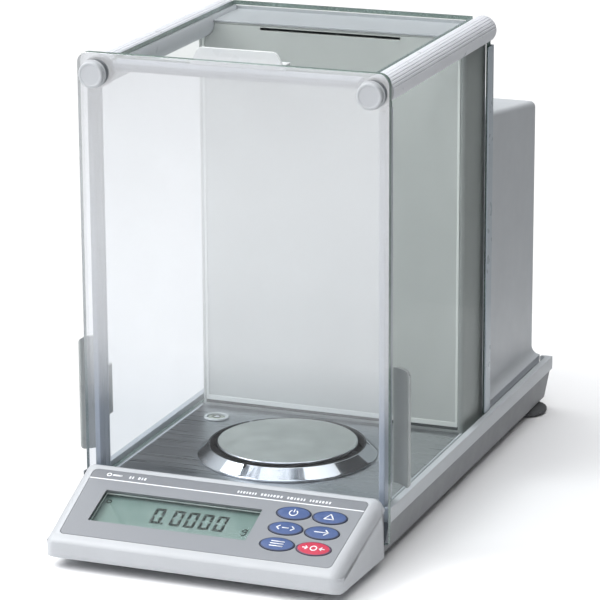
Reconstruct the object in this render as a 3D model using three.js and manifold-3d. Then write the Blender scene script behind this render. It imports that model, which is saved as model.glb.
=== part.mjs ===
// Analytical balance with a glass draft shield: two side doors and a top door that slide to the rear.
// Millimetres, +Z up, +X to the right of the person using it, +Y to the rear.
// The origin is on the surface it stands on, under the centre of its outer box.
import * as THREE from "three";
import { mergeVertices } from "three/addons/utils/BufferGeometryUtils.js";
import Module from "manifold-3d";

const wasm = await Module();
wasm.setup();

// ---- Driving dimensions -------------------------------------------------------------------------

const GAP = 0.3; // between pieces that touch
const FRONT = -206; // nose of the console
const REAR = 206; // rear end of the base

// Base: a dark tray below, a light deck above with a track along each side
const BASE_HALF = 99.5;
const TRAY = { bottom: 6.5, top: 26.7, bottomHalf: 94.5, topHalf: 98.3, wall: 2.5 };
const DECK = { bottom: 27, plate: 31.2, floor: 33, top: 36.2 };
const BASE_FRONT = -128.4;
const TRACK = { inner: 91.3, outer: 95.1, bottom: 32.2 };

// Weighing chamber
const PAN = { y: -45, radius: 45, top: 42 };
const RING = { inner: 49.2, crest: 50.2, outer: 57.5, top: 40.5 };
const FLOOR = { half: 89.5, front: -124, rear: 31.5, thick: 1.2 };
const LEVEL = { x: -70.4, y: 6.7, radius: 8.3 };
const WALL_FRONT = 32.3;
const TOWER = { half: 91.1, rear: 73.5, top: 292.2, wall: 2.5, corner: 3 };
const WALL_PANEL = { half: 88, bottom: 36.4, top: 291.4, thick: 1 };
const VENT = { half: 47.5, bottom: 288.6, height: 1.8 };

// Glass frame
const GLASS = { half: 99.5, front: -133, thick: 4.2, bottom: 14, top: 303.5, corner: 7 };
const RAIL = { x: 88.7, z: 290.6, radius: 9, rear: 75, front: -120.6 };
const COLLAR = { radius: 9.6, front: -128.4, rear: -121 };
const POST = { inner: 91.3, outer: 95.5, front: -128.4, rear: -115, top: 280.6 };
const BAR = { half: 78.6, front: -128.4, rear: -118, bottom: 292.2, top: 298.1 };
const CAP = { radius: 8.1, front: -138.4 };

// Doors
const DOOR = { inner: 91.7, outer: 94.7, front: -114.6, rear: 76, bottom: 32.8, top: 287 };
const DOOR_TRIM = { width: 10.5, web: 3.2, stand: 0.9, top: 281 };
const HANDLE = { bottom: 47, top: 120, reach: 14.2, rear: -107, front: -121.2, thick: 1.8 };
const TOP_DOOR = { half: 82.4, bottom: 295.9, thick: 3, front: -117.4, rear: 74 };
const TAB = { y: -122.6, thick: 1.8, baseHalf: 30.5, topHalf: 25, base: 298.5, top: 309.3 };

// Low rear cover
const COVER = { half: 84.7, front: 74, rear: 205, top: 233.4, slope: 0.1313, wall: 2.5, corner: 3 };
const FLARE = { half: 90.7, radius: 6, foot: 37 };

// Console
const SLOPE = THREE.MathUtils.degToRad(20);
const PANEL = { y: -149.2, z: 40.2, half: 90.4, length: 54.2, band: 8.6, thick: 1, corner: 3 };
const CONSOLE = { half: 98.4, noseHalf: 95.2, rear: -133.4, bottom: 6.5, wall: 2.6 };
const WINDOW = { left: -74.6, right: 28.3, near: -39.4, far: -9.8 };
const KEY = { halfX: 11, halfY: 6, thick: 3.2, proud: 0.7, clear: 0.35 };
const KEY_COLUMNS = [48.5, 71.7];
const KEY_ROWS = [-9.9, -24.4, -39.3];

// Feet
const FOOT = { x: 84.5, y: 187, discRadius: 16.5, discTop: 5.8, studRadius: 4, studTop: 23 };
const PAD = { x: 75, y: -162, radius: 9, top: 6.2 };

// Weigh cell
const MAGNET = { y: 125, radius: 25, bottom: 31.6, top: 72, slotIn: 13.5, slotOut: 19.5, slotBottom: 40 };
const ARM = { half: 6, bottom: 14, top: 21, riser: 46, riserRear: 53, upper: 80, upperTop: 86 };
const MASS = { y: 85, z: 56, half: 20, radius: 8 };
const ARM_PASS = { half: 9, front: 43, rear: 56 };

// Sockets in the rear cover
const JACK = { x: 48, z: 56, radius: 5.5, bore: 3.5 };
const PORT = { half: 26, low: 50, high: 62, mouthHalf: 18 };

// ---- Materials ----------------------------------------------------------------------------------

function material(colour, roughness, metalness = 0, opacity = 1) {
  const settings = { color: colour, roughness, metalness, opacity, transparent: opacity < 1 };
  return new THREE.MeshStandardMaterial(settings);
}

const FINISH = {
  housing: () => material(0xe3e6ea, 0.45),
  deck: () => material(0xd5d8da, 0.5),
  tray: () => material(0x8d9092, 0.55),
  wall: () => material(0xc3c8c6, 0.5),
  stainless: () => material(0xb9bbb8, 0.3, 1),
  chrome: () => material(0xdcdfe2, 0.08, 1),
  rail: () => material(0xe6e8ec, 0.4, 0.1),
  glass: () => material(0xd5e4e0, 0.03, 0, 0.25),
  acrylic: () => material(0xe6ecef, 0.08, 0, 0.35),
  handle: () => material(0x8b9292, 0.4),
  panel: () => material(0xafb3ba, 0.4, 0.4),
  lens: () => material(0xb6c4bf, 0.1, 0, 0.35),
  lcd: () => material(0x96aaa4, 0.35),
  keyBlue: () => material(0x5a74aa, 0.4),
  keyRed: () => material(0xd83f5c, 0.4),
  rubber: () => material(0x55585a, 0.8),
  board: () => material(0x2f6b45, 0.6),
  steel: () => material(0x9a9c9e, 0.4, 1),
  copper: () => material(0xb4713f, 0.4, 1),
  black: () => material(0x2b2d2f, 0.6),
};

// ---- Geometry helpers ---------------------------------------------------------------------------

function solid(geometry) {
  const bare = geometry.index ? geometry.toNonIndexed() : geometry.clone();
  bare.deleteAttribute("normal");
  bare.deleteAttribute("uv");
  const merged = mergeVertices(bare, 1e-4);
  const mesh = new wasm.Mesh({
    numProp: 3,
    vertProperties: new Float32Array(merged.attributes.position.array),
    triVerts: new Uint32Array(merged.index.array),
  });
  return new wasm.Manifold(mesh);
}

function geometryOf(body) {
  const mesh = body.getMesh();
  const geometry = new THREE.BufferGeometry();
  geometry.setAttribute("position", new THREE.BufferAttribute(mesh.vertProperties, 3));
  geometry.setIndex(new THREE.BufferAttribute(mesh.triVerts, 1));
  geometry.computeVertexNormals();
  return geometry;
}

function cut(geometry, ...tools) {
  return geometryOf(tools.reduce((body, tool) => body.subtract(solid(tool)), solid(geometry)));
}

function join(geometry, ...others) {
  return geometryOf(others.reduce((body, other) => body.add(solid(other)), solid(geometry)));
}

function common(geometry, ...others) {
  return geometryOf(others.reduce((body, other) => body.intersect(solid(other)), solid(geometry)));
}

function shapeOf(points) {
  return new THREE.Shape(points.map(([u, v]) => new THREE.Vector2(u, v)));
}

// A rectangle whose corners are rounded by the radii given from lower left, anticlockwise.
function roundedRect(u0, v0, u1, v1, [r0, r1, r2, r3]) {
  const shape = new THREE.Shape();
  const quarter = Math.PI / 2;
  const corners = [
    [u0 + r0, v0 + r0, r0, 2 * quarter],
    [u1 - r1, v0 + r1, r1, 3 * quarter],
    [u1 - r2, v1 - r2, r2, 0],
    [u0 + r3, v1 - r3, r3, quarter],
  ];
  shape.moveTo(u0, v0 + r0);
  for (const [u, v, radius, start] of corners) {
    if (radius > 0) shape.absarc(u, v, radius, start, start + quarter, false);
    else shape.lineTo(u, v);
  }
  return shape;
}

const X_AXIS = new THREE.Vector3(1, 0, 0);
const Y_AXIS = new THREE.Vector3(0, 1, 0);
const Z_AXIS = new THREE.Vector3(0, 0, 1);

function prism(shape, depth, segments = 5) {
  return new THREE.ExtrudeGeometry(shape, { depth, bevelEnabled: false, curveSegments: segments });
}

// The shape lies in the YZ plane and runs from x0 to x1.
function prismX(shape, x0, x1, segments) {
  const turn = new THREE.Matrix4().makeBasis(Y_AXIS, Z_AXIS, X_AXIS);
  return prism(shape, x1 - x0, segments).applyMatrix4(turn).translate(x0, 0, 0);
}

// The shape lies in the XZ plane and runs from y0 to y1.
function prismY(shape, y0, y1, segments) {
  return prism(shape, y1 - y0, segments).rotateX(Math.PI / 2).translate(0, y1, 0);
}

// The shape lies in the XY plane and runs from z0 to z1.
function prismZ(shape, z0, z1, segments) {
  return prism(shape, z1 - z0, segments).translate(0, 0, z0);
}

function block(x0, x1, y0, y1, z0, z1) {
  const geometry = new THREE.BoxGeometry(x1 - x0, y1 - y0, z1 - z0);
  return geometry.translate((x0 + x1) / 2, (y0 + y1) / 2, (z0 + z1) / 2);
}

function cylinderZ(x, y, z0, z1, radius, segments = 32) {
  const geometry = new THREE.CylinderGeometry(radius, radius, z1 - z0, segments);
  return geometry.rotateX(Math.PI / 2).translate(x, y, (z0 + z1) / 2);
}

function cylinderY(x, z, y0, y1, radius, segments = 32) {
  const geometry = new THREE.CylinderGeometry(radius, radius, y1 - y0, segments);
  return geometry.translate(x, (y0 + y1) / 2, z);
}

// A profile of [radius, height] points turned about a vertical axis.
function turnedZ(profile, x, y, segments = 48) {
  const points = profile.map(([r, z]) => new THREE.Vector2(r, z));
  return new THREE.LatheGeometry(points, segments).rotateX(Math.PI / 2).translate(x, y, 0);
}

// A profile of [radius, y] points turned about an axis that runs front to rear.
function turnedY(profile, x, z, segments = 32) {
  const points = profile.map(([r, y]) => new THREE.Vector2(r, y));
  return new THREE.LatheGeometry(points, segments).translate(x, 0, z);
}

function ellipse(u, v, halfU, halfV) {
  const shape = new THREE.Shape();
  shape.absellipse(u, v, halfU, halfV, 0, 2 * Math.PI, false);
  return shape;
}

const balance = new THREE.Group();

function add(name, geometry, finish, parent = balance) {
  const mesh = new THREE.Mesh(geometry, FINISH[finish]());
  mesh.name = name;
  parent.add(mesh);
  return mesh;
}

const SIDES = [
  ["left", -1],
  ["right", 1],
];

// A solid drawn for the right-hand side, mirrored when the side is -1.
function onSide(geometry, side) {
  if (side > 0) return geometry;
  const loose = geometry.index ? geometry.toNonIndexed() : geometry.clone();
  const mirrored = loose.scale(-1, 1, 1);
  const position = mirrored.attributes.position;
  for (let i = 0; i < position.count; i += 3) {
    for (const axis of [0, 1, 2]) {
      const held = position.getComponent(i, axis);
      position.setComponent(i, axis, position.getComponent(i + 1, axis));
      position.setComponent(i + 1, axis, held);
    }
  }
  mirrored.computeVertexNormals();
  return mirrored;
}

// ---- Base ---------------------------------------------------------------------------------------

// A section that narrows downwards, as the tray's sides do.
function traySection(inset, bottom) {
  const low = TRAY.bottomHalf - inset;
  const high = TRAY.topHalf - inset;
  return shapeOf([
    [-low, bottom],
    [low, bottom],
    [high, TRAY.top],
    [-high, TRAY.top],
  ]);
}

function baseTray() {
  const rear = REAR - 2;
  const outer = prismY(traySection(0, TRAY.bottom), BASE_FRONT, rear);
  const floor = TRAY.bottom + TRAY.wall;
  const room = prismY(traySection(TRAY.wall, floor), BASE_FRONT + TRAY.wall, rear - TRAY.wall);
  const above = block(-TRAY.topHalf, TRAY.topHalf, BASE_FRONT, rear, TRAY.top, TRAY.top + 1);
  const tongue = block(-86, 86, FRONT + 12, BASE_FRONT + 1, TRAY.bottom, floor);
  const bosses = SIDES.map(([, side]) => cylinderZ(side * FOOT.x, FOOT.y, TRAY.bottom, 24, 8, 24));
  const bore = FOOT.studRadius + 0.4;
  const threads = SIDES.map(([, side]) => cylinderZ(side * FOOT.x, FOOT.y, 0, 25, bore, 24));
  const hook = cylinderZ(0, PAN.y, 0, 12, 11, 24);
  const hollow = cut(outer, room, above);
  return cut(join(hollow, tongue, ...bosses), ...threads, hook);
}

function deckCover() {
  const body = block(-BASE_HALF, BASE_HALF, BASE_FRONT, REAR, DECK.bottom, DECK.top);
  const half = FLOOR.half + GAP;
  const chamber = block(-half, half, FLOOR.front - GAP, FLOOR.rear + GAP, DECK.plate, 40);
  const lowered = block(-TRACK.inner, TRACK.inner, BASE_FRONT - 1, REAR + 1, DECK.floor, 40);
  const rearSeat = block(-TRACK.inner, TRACK.inner, FLOOR.rear, REAR + 1, DECK.plate, 40);
  const armPass = block(-ARM_PASS.half, ARM_PASS.half, ARM_PASS.front, ARM_PASS.rear, 0, 40);
  const shaft = cylinderZ(0, PAN.y, 0, 40, 12, 24);
  const level = cylinderZ(LEVEL.x, LEVEL.y, 0, 40, LEVEL.radius + 1, 24);
  const tracks = SIDES.map(([, side]) => {
    const groove = block(TRACK.inner, TRACK.outer, POST.front - 1, REAR - 3, TRACK.bottom, 40);
    return onSide(groove, side);
  });
  return cut(body, lowered, chamber, rearSeat, armPass, shaft, level, ...tracks);
}

function underhookCover() {
  return cylinderZ(0, PAN.y, TRAY.bottom + 0.2, TRAY.bottom + TRAY.wall, 10.6, 24);
}

add("base_tray", baseTray(), "tray");
add("deck_cover", deckCover(), "deck");
add("underhook_cover", underhookCover(), "tray");

// ---- Chamber floor, level and rear wall ---------------------------------------------------------

function floorPlate() {
  const bottom = DECK.floor - FLOOR.thick;
  const sheet = block(-FLOOR.half, FLOOR.half, FLOOR.front, FLOOR.rear, bottom, DECK.floor);
  const shaft = cylinderZ(0, PAN.y, 0, 60, 9, 24);
  const level = cylinderZ(LEVEL.x, LEVEL.y, 0, 60, LEVEL.radius - 0.9, 24);
  return cut(sheet, shaft, level);
}

function levelCup() {
  const rim = LEVEL.radius;
  const body = rim - 1.2;
  const low = DECK.bottom + 1;
  const lip = DECK.floor + GAP;
  const profile = [
    [0, low],
    [body, low],
    [body, lip],
    [rim, lip],
    [rim, lip + 0.7],
    [rim - 0.5, lip + 1.1],
    [body - 1, lip + 1.1],
    [body - 1, low + 1.4],
    [0, low + 1.4],
  ];
  return turnedZ(profile, LEVEL.x, LEVEL.y, 24);
}

function levelVial() {
  const radius = LEVEL.radius - 2.6;
  const low = DECK.bottom + 2.7;
  const high = DECK.floor + 0.6;
  const profile = [
    [0, low],
    [radius, low],
    [radius, high],
    [radius * 0.6, high + 0.35],
    [0, high + 0.5],
  ];
  return turnedZ(profile, LEVEL.x, LEVEL.y, 24);
}

add("floor_plate", floorPlate(), "stainless");
add("level_cup", levelCup(), "housing");
add("level_vial", levelVial(), "lens");

// Room round each rail, so that the rail can pass a neighbour.
function railRooms() {
  return SIDES.map(([, side]) => cylinderY(side * RAIL.x, RAIL.z, -140, 90, RAIL.radius + GAP, 36));
}

function rearTower() {
  const low = DECK.plate + GAP + 0.1;
  const corners = [TOWER.corner, TOWER.corner, 0, 0];
  const outline = roundedRect(-TOWER.half, WALL_FRONT, TOWER.half, TOWER.rear, corners);
  const inside = TOWER.half - TOWER.wall;
  const outer = prismZ(outline, low, TOWER.top);
  const front = WALL_FRONT + TOWER.wall + WALL_PANEL.thick;
  const hollow = block(-inside, inside, front, TOWER.rear + 1, 0, TOWER.top - TOWER.wall);
  const recessHalf = WALL_PANEL.half + 0.2;
  const recess = block(
    -recessHalf,
    recessHalf,
    WALL_FRONT - 1,
    WALL_FRONT + WALL_PANEL.thick + 0.5,
    WALL_PANEL.bottom - 0.2,
    WALL_PANEL.top + 0.2,
  );
  const vent = block(-VENT.half, VENT.half, 30, 40, VENT.bottom, VENT.bottom + VENT.height);
  return cut(outer, hollow, recess, vent, ...railRooms());
}

function rearWallPanel() {
  const front = WALL_FRONT + 0.2;
  const sheet = block(
    -WALL_PANEL.half,
    WALL_PANEL.half,
    front,
    front + WALL_PANEL.thick,
    WALL_PANEL.bottom,
    WALL_PANEL.top,
  );
  const vent = block(-VENT.half, VENT.half, 30, 40, VENT.bottom, VENT.bottom + VENT.height);
  return cut(sheet, vent, ...railRooms());
}

// The strip between the rails, turned up at its rear edge.
function rearTopCap() {
  const low = TOWER.top + GAP;
  const profile = shapeOf([
    [WALL_FRONT, low],
    [TOWER.rear + 1.5, low],
    [TOWER.rear + 1.5, low + 2.9],
    [TOWER.rear - 0.5, low + 2.9],
    [TOWER.rear - 0.5, low + 1],
    [WALL_FRONT, low + 1],
  ]);
  return cut(prismX(profile, -86, 86), ...railRooms());
}

function towerBackCover() {
  const front = TOWER.rear - TOWER.wall;
  const half = TOWER.half - TOWER.wall - GAP;
  const sheet = block(-half, half, front, TOWER.rear, DECK.plate + 0.4, TOWER.top - TOWER.wall - GAP);
  const vents = [0, 1, 2, 3, 4].map((row) => {
    const z = 250 + row * 6;
    return block(-40, 40, front - 1, TOWER.rear + 1, z, z + 2.4);
  });
  const reach = ARM.half + 3;
  const pass = block(-reach, reach, front - 1, TOWER.rear + 1, ARM.upper - 4, ARM.upperTop + 4);
  return cut(sheet, ...vents, pass, ...railRooms());
}

add("rear_tower", rearTower(), "housing");
add("rear_wall_panel", rearWallPanel(), "wall");
add("rear_top_cap", rearTopCap(), "housing");
add("tower_back_cover", towerBackCover(), "deck");

// ---- Low rear cover -----------------------------------------------------------------------------

// Lowers everything above the middle towards the rear, so that the top slopes.
function slopeTop(geometry) {
  const position = geometry.attributes.position;
  for (let i = 0; i < position.count; i += 1) {
    const drop = COVER.slope * (position.getY(i) - COVER.front);
    if (position.getZ(i) > COVER.top / 2) position.setZ(i, position.getZ(i) - drop);
  }
  return geometry;
}

// Section of the cover: round upper corners, sides that flare out into the deck.
function coverSection() {
  const { half, top, corner } = COVER;
  const foot = DECK.plate + 0.4;
  const hip = FLARE.foot + FLARE.radius;
  const shape = new THREE.Shape();
  shape.moveTo(-FLARE.half, foot);
  shape.lineTo(FLARE.half, foot);
  shape.lineTo(FLARE.half, FLARE.foot);
  shape.absarc(half + FLARE.radius, hip, FLARE.radius, -Math.PI / 2, -Math.PI, true);
  shape.absarc(half - corner, top - corner, corner, 0, Math.PI / 2, false);
  shape.absarc(-half + corner, top - corner, corner, Math.PI / 2, Math.PI, false);
  shape.absarc(-half - FLARE.radius, hip, FLARE.radius, 0, -Math.PI / 2, true);
  shape.lineTo(-FLARE.half, FLARE.foot);
  return shape;
}

function rearCover() {
  const inside = COVER.half - COVER.wall;
  const ceiling = COVER.top - COVER.wall;
  const outer = slopeTop(prismY(coverSection(), COVER.front, COVER.rear, 4));
  const room = slopeTop(block(-inside, inside, COVER.front - 1, COVER.rear - COVER.wall, 0, ceiling));
  const vents = [0, 1, 2, 3, 4, 5].map((row) => {
    const z = 150 + row * 7;
    return block(-45, 45, COVER.rear - 5, COVER.rear + 1, z, z + 2.6);
  });
  const jack = cylinderY(JACK.x, JACK.z, COVER.rear - 5, COVER.rear + 1, JACK.radius + 0.35, 24);
  const portHalf = PORT.half + 0.4;
  const port = block(-portHalf, portHalf, COVER.rear - 5, COVER.rear + 1, PORT.low - 0.4, PORT.high + 0.4);
  return cut(outer, room, ...vents, jack, port);
}

function powerJack() {
  const barrel = cylinderY(JACK.x, JACK.z, COVER.rear - 12, COVER.rear + 0.6, JACK.radius, 20);
  const hole = cylinderY(JACK.x, JACK.z, COVER.rear - 9, COVER.rear + 2, JACK.bore, 20);
  return cut(barrel, hole);
}

// Socket with a D-shaped face that stands in a shallow recess.
function dataPort() {
  const { half, low, high, mouthHalf } = PORT;
  const shell = block(-half, half, COVER.rear - 9, COVER.rear + 0.6, low, high);
  const mouth = shapeOf([
    [-mouthHalf + 1, low + 2.2],
    [mouthHalf - 1, low + 2.2],
    [mouthHalf + 1, high - 2.2],
    [-mouthHalf - 1, high - 2.2],
  ]);
  return cut(shell, prismY(mouth, COVER.rear - 0.6, COVER.rear + 2));
}

add("rear_cover", rearCover(), "housing");
add("power_jack", powerJack(), "black");
add("data_port", dataPort(), "steel");

// ---- Glass frame --------------------------------------------------------------------------------

function frontGlass() {
  const { half, bottom, top, corner } = GLASS;
  const sheet = roundedRect(-half, bottom, half, top, [1, 1, corner, corner]);
  const holes = SIDES.map(([, side]) => cylinderY(side * RAIL.x, RAIL.z, -140, -120, 4.4, 20));
  return cut(prismY(sheet, GLASS.front, GLASS.front + GLASS.thick, 8), ...holes);
}

// Round rail with fine ribs over its outer upper half, a seat for the top door on its inner
// shoulder, and a slot below for the side door.
function railSection() {
  const ribs = { from: 5, to: 128, count: 8, depth: 0.45 };
  const steps = 72;
  const points = [];
  for (let i = 0; i < steps; i += 1) {
    const turn = (i / steps) * 360;
    const along = (turn - ribs.from) / (ribs.to - ribs.from);
    const ribbed = along > 0 && along < 1;
    const wave = ribbed ? Math.abs(Math.sin(along * ribs.count * Math.PI)) : 1;
    const radius = RAIL.radius - ribs.depth * (1 - Math.min(1, wave * 1.6));
    const angle = THREE.MathUtils.degToRad(turn);
    points.push([RAIL.x + radius * Math.cos(angle), RAIL.z + radius * Math.sin(angle)]);
  }
  return shapeOf(points);
}

// Room for the two doors that a right-hand rail guides: the top door's edge and the side door's.
function doorRooms() {
  const front = RAIL.front - 1;
  const rear = RAIL.rear + 9;
  const seat = block(RAIL.x - 12, TOP_DOOR.half + 0.4, front, rear, TOP_DOOR.bottom - GAP, 310);
  const slot = block(DOOR.inner - GAP, DOOR.outer + GAP, front, rear, 270, DOOR.top + 0.7);
  return [seat, slot];
}

function topRail(side) {
  const rod = prismY(railSection(), RAIL.front, RAIL.rear);
  return onSide(cut(rod, ...doorRooms()), side);
}

function cornerCollar(side) {
  const profile = [
    [0, COLLAR.front],
    [COLLAR.radius - 1, COLLAR.front],
    [COLLAR.radius, COLLAR.front + 0.8],
    [COLLAR.radius, COLLAR.rear - 0.8],
    [COLLAR.radius - 0.8, COLLAR.rear],
    [0, COLLAR.rear],
  ];
  return turnedY(profile, side * RAIL.x, RAIL.z, 28);
}

// Round screw cap that clamps the front glass; its stem goes through the glass.
function frontCap(side) {
  const seat = GLASS.front - GAP;
  const profile = [
    [0, CAP.front],
    [CAP.radius - 0.9, CAP.front],
    [CAP.radius, CAP.front + 0.7],
    [CAP.radius, seat - 2],
    [CAP.radius - 0.9, seat - 1.8],
    [CAP.radius - 0.9, seat - 1.2],
    [CAP.radius + 0.5, seat - 1],
    [CAP.radius + 0.5, seat],
    [3.9, seat],
    [3.9, COLLAR.front - GAP],
    [0, COLLAR.front - GAP],
  ];
  return turnedY(profile, side * RAIL.x, RAIL.z, 28);
}

function rearCap(side) {
  const front = RAIL.rear + GAP;
  const profile = [
    [0, front],
    [RAIL.radius - 0.6, front],
    [RAIL.radius - 0.6, front + 1],
    [RAIL.radius - 1.6, front + 2],
    [0, front + 2],
  ];
  const disc = turnedY(profile, RAIL.x, RAIL.z);
  return onSide(cut(disc, ...doorRooms()), side);
}

function frontPost(side) {
  const outline = shapeOf([
    [POST.inner, POST.rear],
    [POST.inner, POST.front + 1.6],
    [POST.inner + 1.2, POST.front],
    [POST.outer, POST.front],
    [POST.outer, POST.rear],
  ]);
  return onSide(cut(prismZ(outline, DECK.top + GAP, POST.top), ...railRooms()), side);
}

// Bar between the collars, with a broad bevel on its upper front edge.
function frontCrossBar() {
  const outline = shapeOf([
    [BAR.front, BAR.bottom],
    [BAR.rear, BAR.bottom],
    [BAR.rear, BAR.top - 2.6],
    [BAR.rear - 1.6, BAR.top],
    [BAR.front + 5.2, BAR.top],
    [BAR.front + 1.2, BAR.top - 1.6],
    [BAR.front, BAR.top - 3.4],
  ]);
  return prismX(outline, -BAR.half, BAR.half);
}

add("front_glass", frontGlass(), "glass");
add("front_cross_bar", frontCrossBar(), "rail");
for (const [name, side] of SIDES) {
  add("top_rail_" + name, topRail(side), "rail");
  add("corner_collar_" + name, cornerCollar(side), "housing");
  add("rail_cap_front_" + name, frontCap(side), "housing");
  add("rail_cap_rear_" + name, rearCap(side), "housing");
  add("front_post_" + name, frontPost(side), "rail");
}

// ---- Doors --------------------------------------------------------------------------------------

function sideDoorGlass(side) {
  const rear = DOOR.rear - DOOR_TRIM.web - GAP;
  const sheet = block(DOOR.inner, DOOR.outer, DOOR.front, rear, DOOR.bottom, DOOR.top);
  return onSide(sheet, side);
}

// Angle strip on the rear edge of the door: a web behind the glass and a leaf on its outer face.
function sideDoorTrim(side) {
  const leaf = DOOR.rear - DOOR_TRIM.width;
  const web = DOOR.rear - DOOR_TRIM.web;
  const outer = DOOR.outer + DOOR_TRIM.stand + GAP;
  const outline = shapeOf([
    [DOOR.inner, web],
    [DOOR.outer + GAP, web],
    [DOOR.outer + GAP, leaf],
    [outer, leaf],
    [outer, DOOR.rear],
    [DOOR.inner, DOOR.rear],
  ]);
  return onSide(prismZ(outline, DECK.top + 0.5, DOOR_TRIM.top), side);
}

// Finger grip: a thin curved blade that leaves the glass and leans outwards to the front.
function sideDoorHandle(side) {
  const start = DOOR.outer + GAP;
  const tip = start + HANDLE.reach;
  const { rear, front, thick } = HANDLE;
  const outline = new THREE.Shape();
  outline.moveTo(start, rear + 5);
  outline.lineTo(start, rear - 5);
  outline.quadraticCurveTo(start + 6.6, rear - 5.6, tip - thick, front);
  outline.lineTo(tip, front + 0.6);
  outline.quadraticCurveTo(start + 8.8, rear - 3.4, start + thick, rear - 2.4);
  outline.lineTo(start + thick, rear + 5);
  const blade = prismZ(outline, HANDLE.bottom, HANDLE.top, 6);
  const face = roundedRect(start - 20, HANDLE.bottom, tip, HANDLE.top, [0, 4, 4, 0]);
  return onSide(common(blade, prismY(face, front - 10, rear + 10, 4)), side);
}

function topDoorGlass() {
  const sheet = roundedRect(-TOP_DOOR.half, TOP_DOOR.front, TOP_DOOR.half, TOP_DOOR.rear, [1, 1, 1, 1]);
  return prismZ(sheet, TOP_DOOR.bottom, TOP_DOOR.bottom + TOP_DOOR.thick, 3);
}

// Clear pull tab: a foot on the door's glass and an upright blade in front of it.
function topDoorTab() {
  const blade = new THREE.Shape();
  const round = 3;
  blade.moveTo(-TAB.baseHalf, TAB.base);
  blade.lineTo(TAB.baseHalf, TAB.base);
  blade.lineTo(TAB.topHalf + 1, TAB.top - round);
  blade.quadraticCurveTo(TAB.topHalf, TAB.top, TAB.topHalf - round, TAB.top);
  blade.lineTo(-TAB.topHalf + round, TAB.top);
  blade.quadraticCurveTo(-TAB.topHalf, TAB.top, -TAB.topHalf - 1, TAB.top - round);
  const upright = prismY(blade, TAB.y, TAB.y + TAB.thick, 4);
  const top = TOP_DOOR.bottom + TOP_DOOR.thick;
  const foot = block(-TAB.baseHalf + 2, TAB.baseHalf - 2, TAB.y + 1, TOP_DOOR.front + 9, top + GAP, top + 2);
  return join(upright, foot);
}

for (const [name, side] of SIDES) {
  add(name + "_door_glass", sideDoorGlass(side), "glass");
  add(name + "_door_trim", sideDoorTrim(side), "handle");
  add(name + "_door_handle", sideDoorHandle(side), "handle");
}
add("top_door_glass", topDoorGlass(), "glass");
add("top_door_tab", topDoorTab(), "acrylic");

// ---- Console ------------------------------------------------------------------------------------

// Everything on the sloping face is drawn in the face's own frame: X across, Y up the slope, Z out.
const consoleFace = new THREE.Group();
consoleFace.position.set(0, PANEL.y, PANEL.z);
consoleFace.rotation.x = SLOPE;
balance.add(consoleFace);
consoleFace.updateMatrixWorld(true);

function fromFace(geometry) {
  return geometry.applyMatrix4(consoleFace.matrixWorld);
}

function keyPlaces() {
  return KEY_COLUMNS.flatMap((x) => KEY_ROWS.map((y) => [x, y]));
}

// Section of the console from front to rear, with a full nose and a soft rear lip.
function consoleSection(inset) {
  const slopeAt = (y) => PANEL.z + (y - PANEL.y) * Math.tan(SLOPE);
  const lip = CONSOLE.rear - 4.4;
  const noseTop = FRONT + 6.5;
  const lift = inset / Math.cos(SLOPE);
  const shape = new THREE.Shape();
  shape.moveTo(FRONT + 7.5 + inset, CONSOLE.bottom - (inset > 0 ? 2 : 0));
  shape.lineTo(CONSOLE.rear - inset, CONSOLE.bottom - (inset > 0 ? 2 : 0));
  shape.lineTo(CONSOLE.rear - inset, 42.4 - lift);
  shape.quadraticCurveTo(CONSOLE.rear - inset, slopeAt(lip) - lift, lip - inset, slopeAt(lip) - lift);
  shape.lineTo(noseTop + inset, slopeAt(noseTop) - lift);
  shape.quadraticCurveTo(FRONT + 0.6 + inset, slopeAt(FRONT + 1) - lift, FRONT + inset, 14 - lift * 0.4);
  shape.quadraticCurveTo(FRONT + 0.4 + inset, 10, FRONT + 7.5 + inset, CONSOLE.bottom - (inset > 0 ? 2 : 0));
  return shape;
}

// Plan of the console: it narrows to the front and has round front corners.
function consolePlan(inset) {
  const rear = CONSOLE.half - inset;
  const nose = CONSOLE.noseHalf - inset;
  const round = 8 - inset;
  const front = FRONT + inset;
  const shape = new THREE.Shape();
  shape.moveTo(-nose + round, front);
  shape.lineTo(nose - round, front);
  shape.quadraticCurveTo(nose, front, nose + 0.4, front + round);
  shape.lineTo(rear, CONSOLE.rear - inset);
  shape.lineTo(-rear, CONSOLE.rear - inset);
  shape.lineTo(-nose - 0.4, front + round);
  shape.quadraticCurveTo(-nose, front, -nose + round, front);
  return shape;
}

function consoleBlank(inset) {
  const body = prismX(consoleSection(inset), -CONSOLE.half, CONSOLE.half, 5);
  return common(body, prismZ(consolePlan(inset), 0, 60, 5));
}

function consoleHousing() {
  const outer = common(consoleBlank(0), consoleShoulders());
  const room = consoleBlank(CONSOLE.wall);
  const recess = fromFace(prismZ(panelOutline(GAP), -PANEL.thick - GAP, 5));
  const { left, right, near, far } = WINDOW;
  const window = fromFace(block(left - 1, right + 1, near - 1, far + 1, -10, 5));
  const keyHoles = keyPlaces().map(([x, y]) => {
    return fromFace(prismZ(ellipse(x, y, KEY.halfX + KEY.clear, KEY.halfY + KEY.clear), -10, 5, 12));
  });
  const tongueRoom = block(-87, 87, FRONT + 11, CONSOLE.rear + 1, 0, TRAY.bottom + TRAY.wall + GAP);
  return cut(outer, room, recess, window, ...keyHoles, tongueRoom);
}

// Rounds the long edges beside the sloping face.
function consoleShoulders() {
  const half = CONSOLE.half + 1;
  const shape = roundedRect(-half, -60, half, 1.2, [0, 0, 7, 7]);
  return fromFace(prismY(shape, -90, 40, 6));
}

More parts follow.
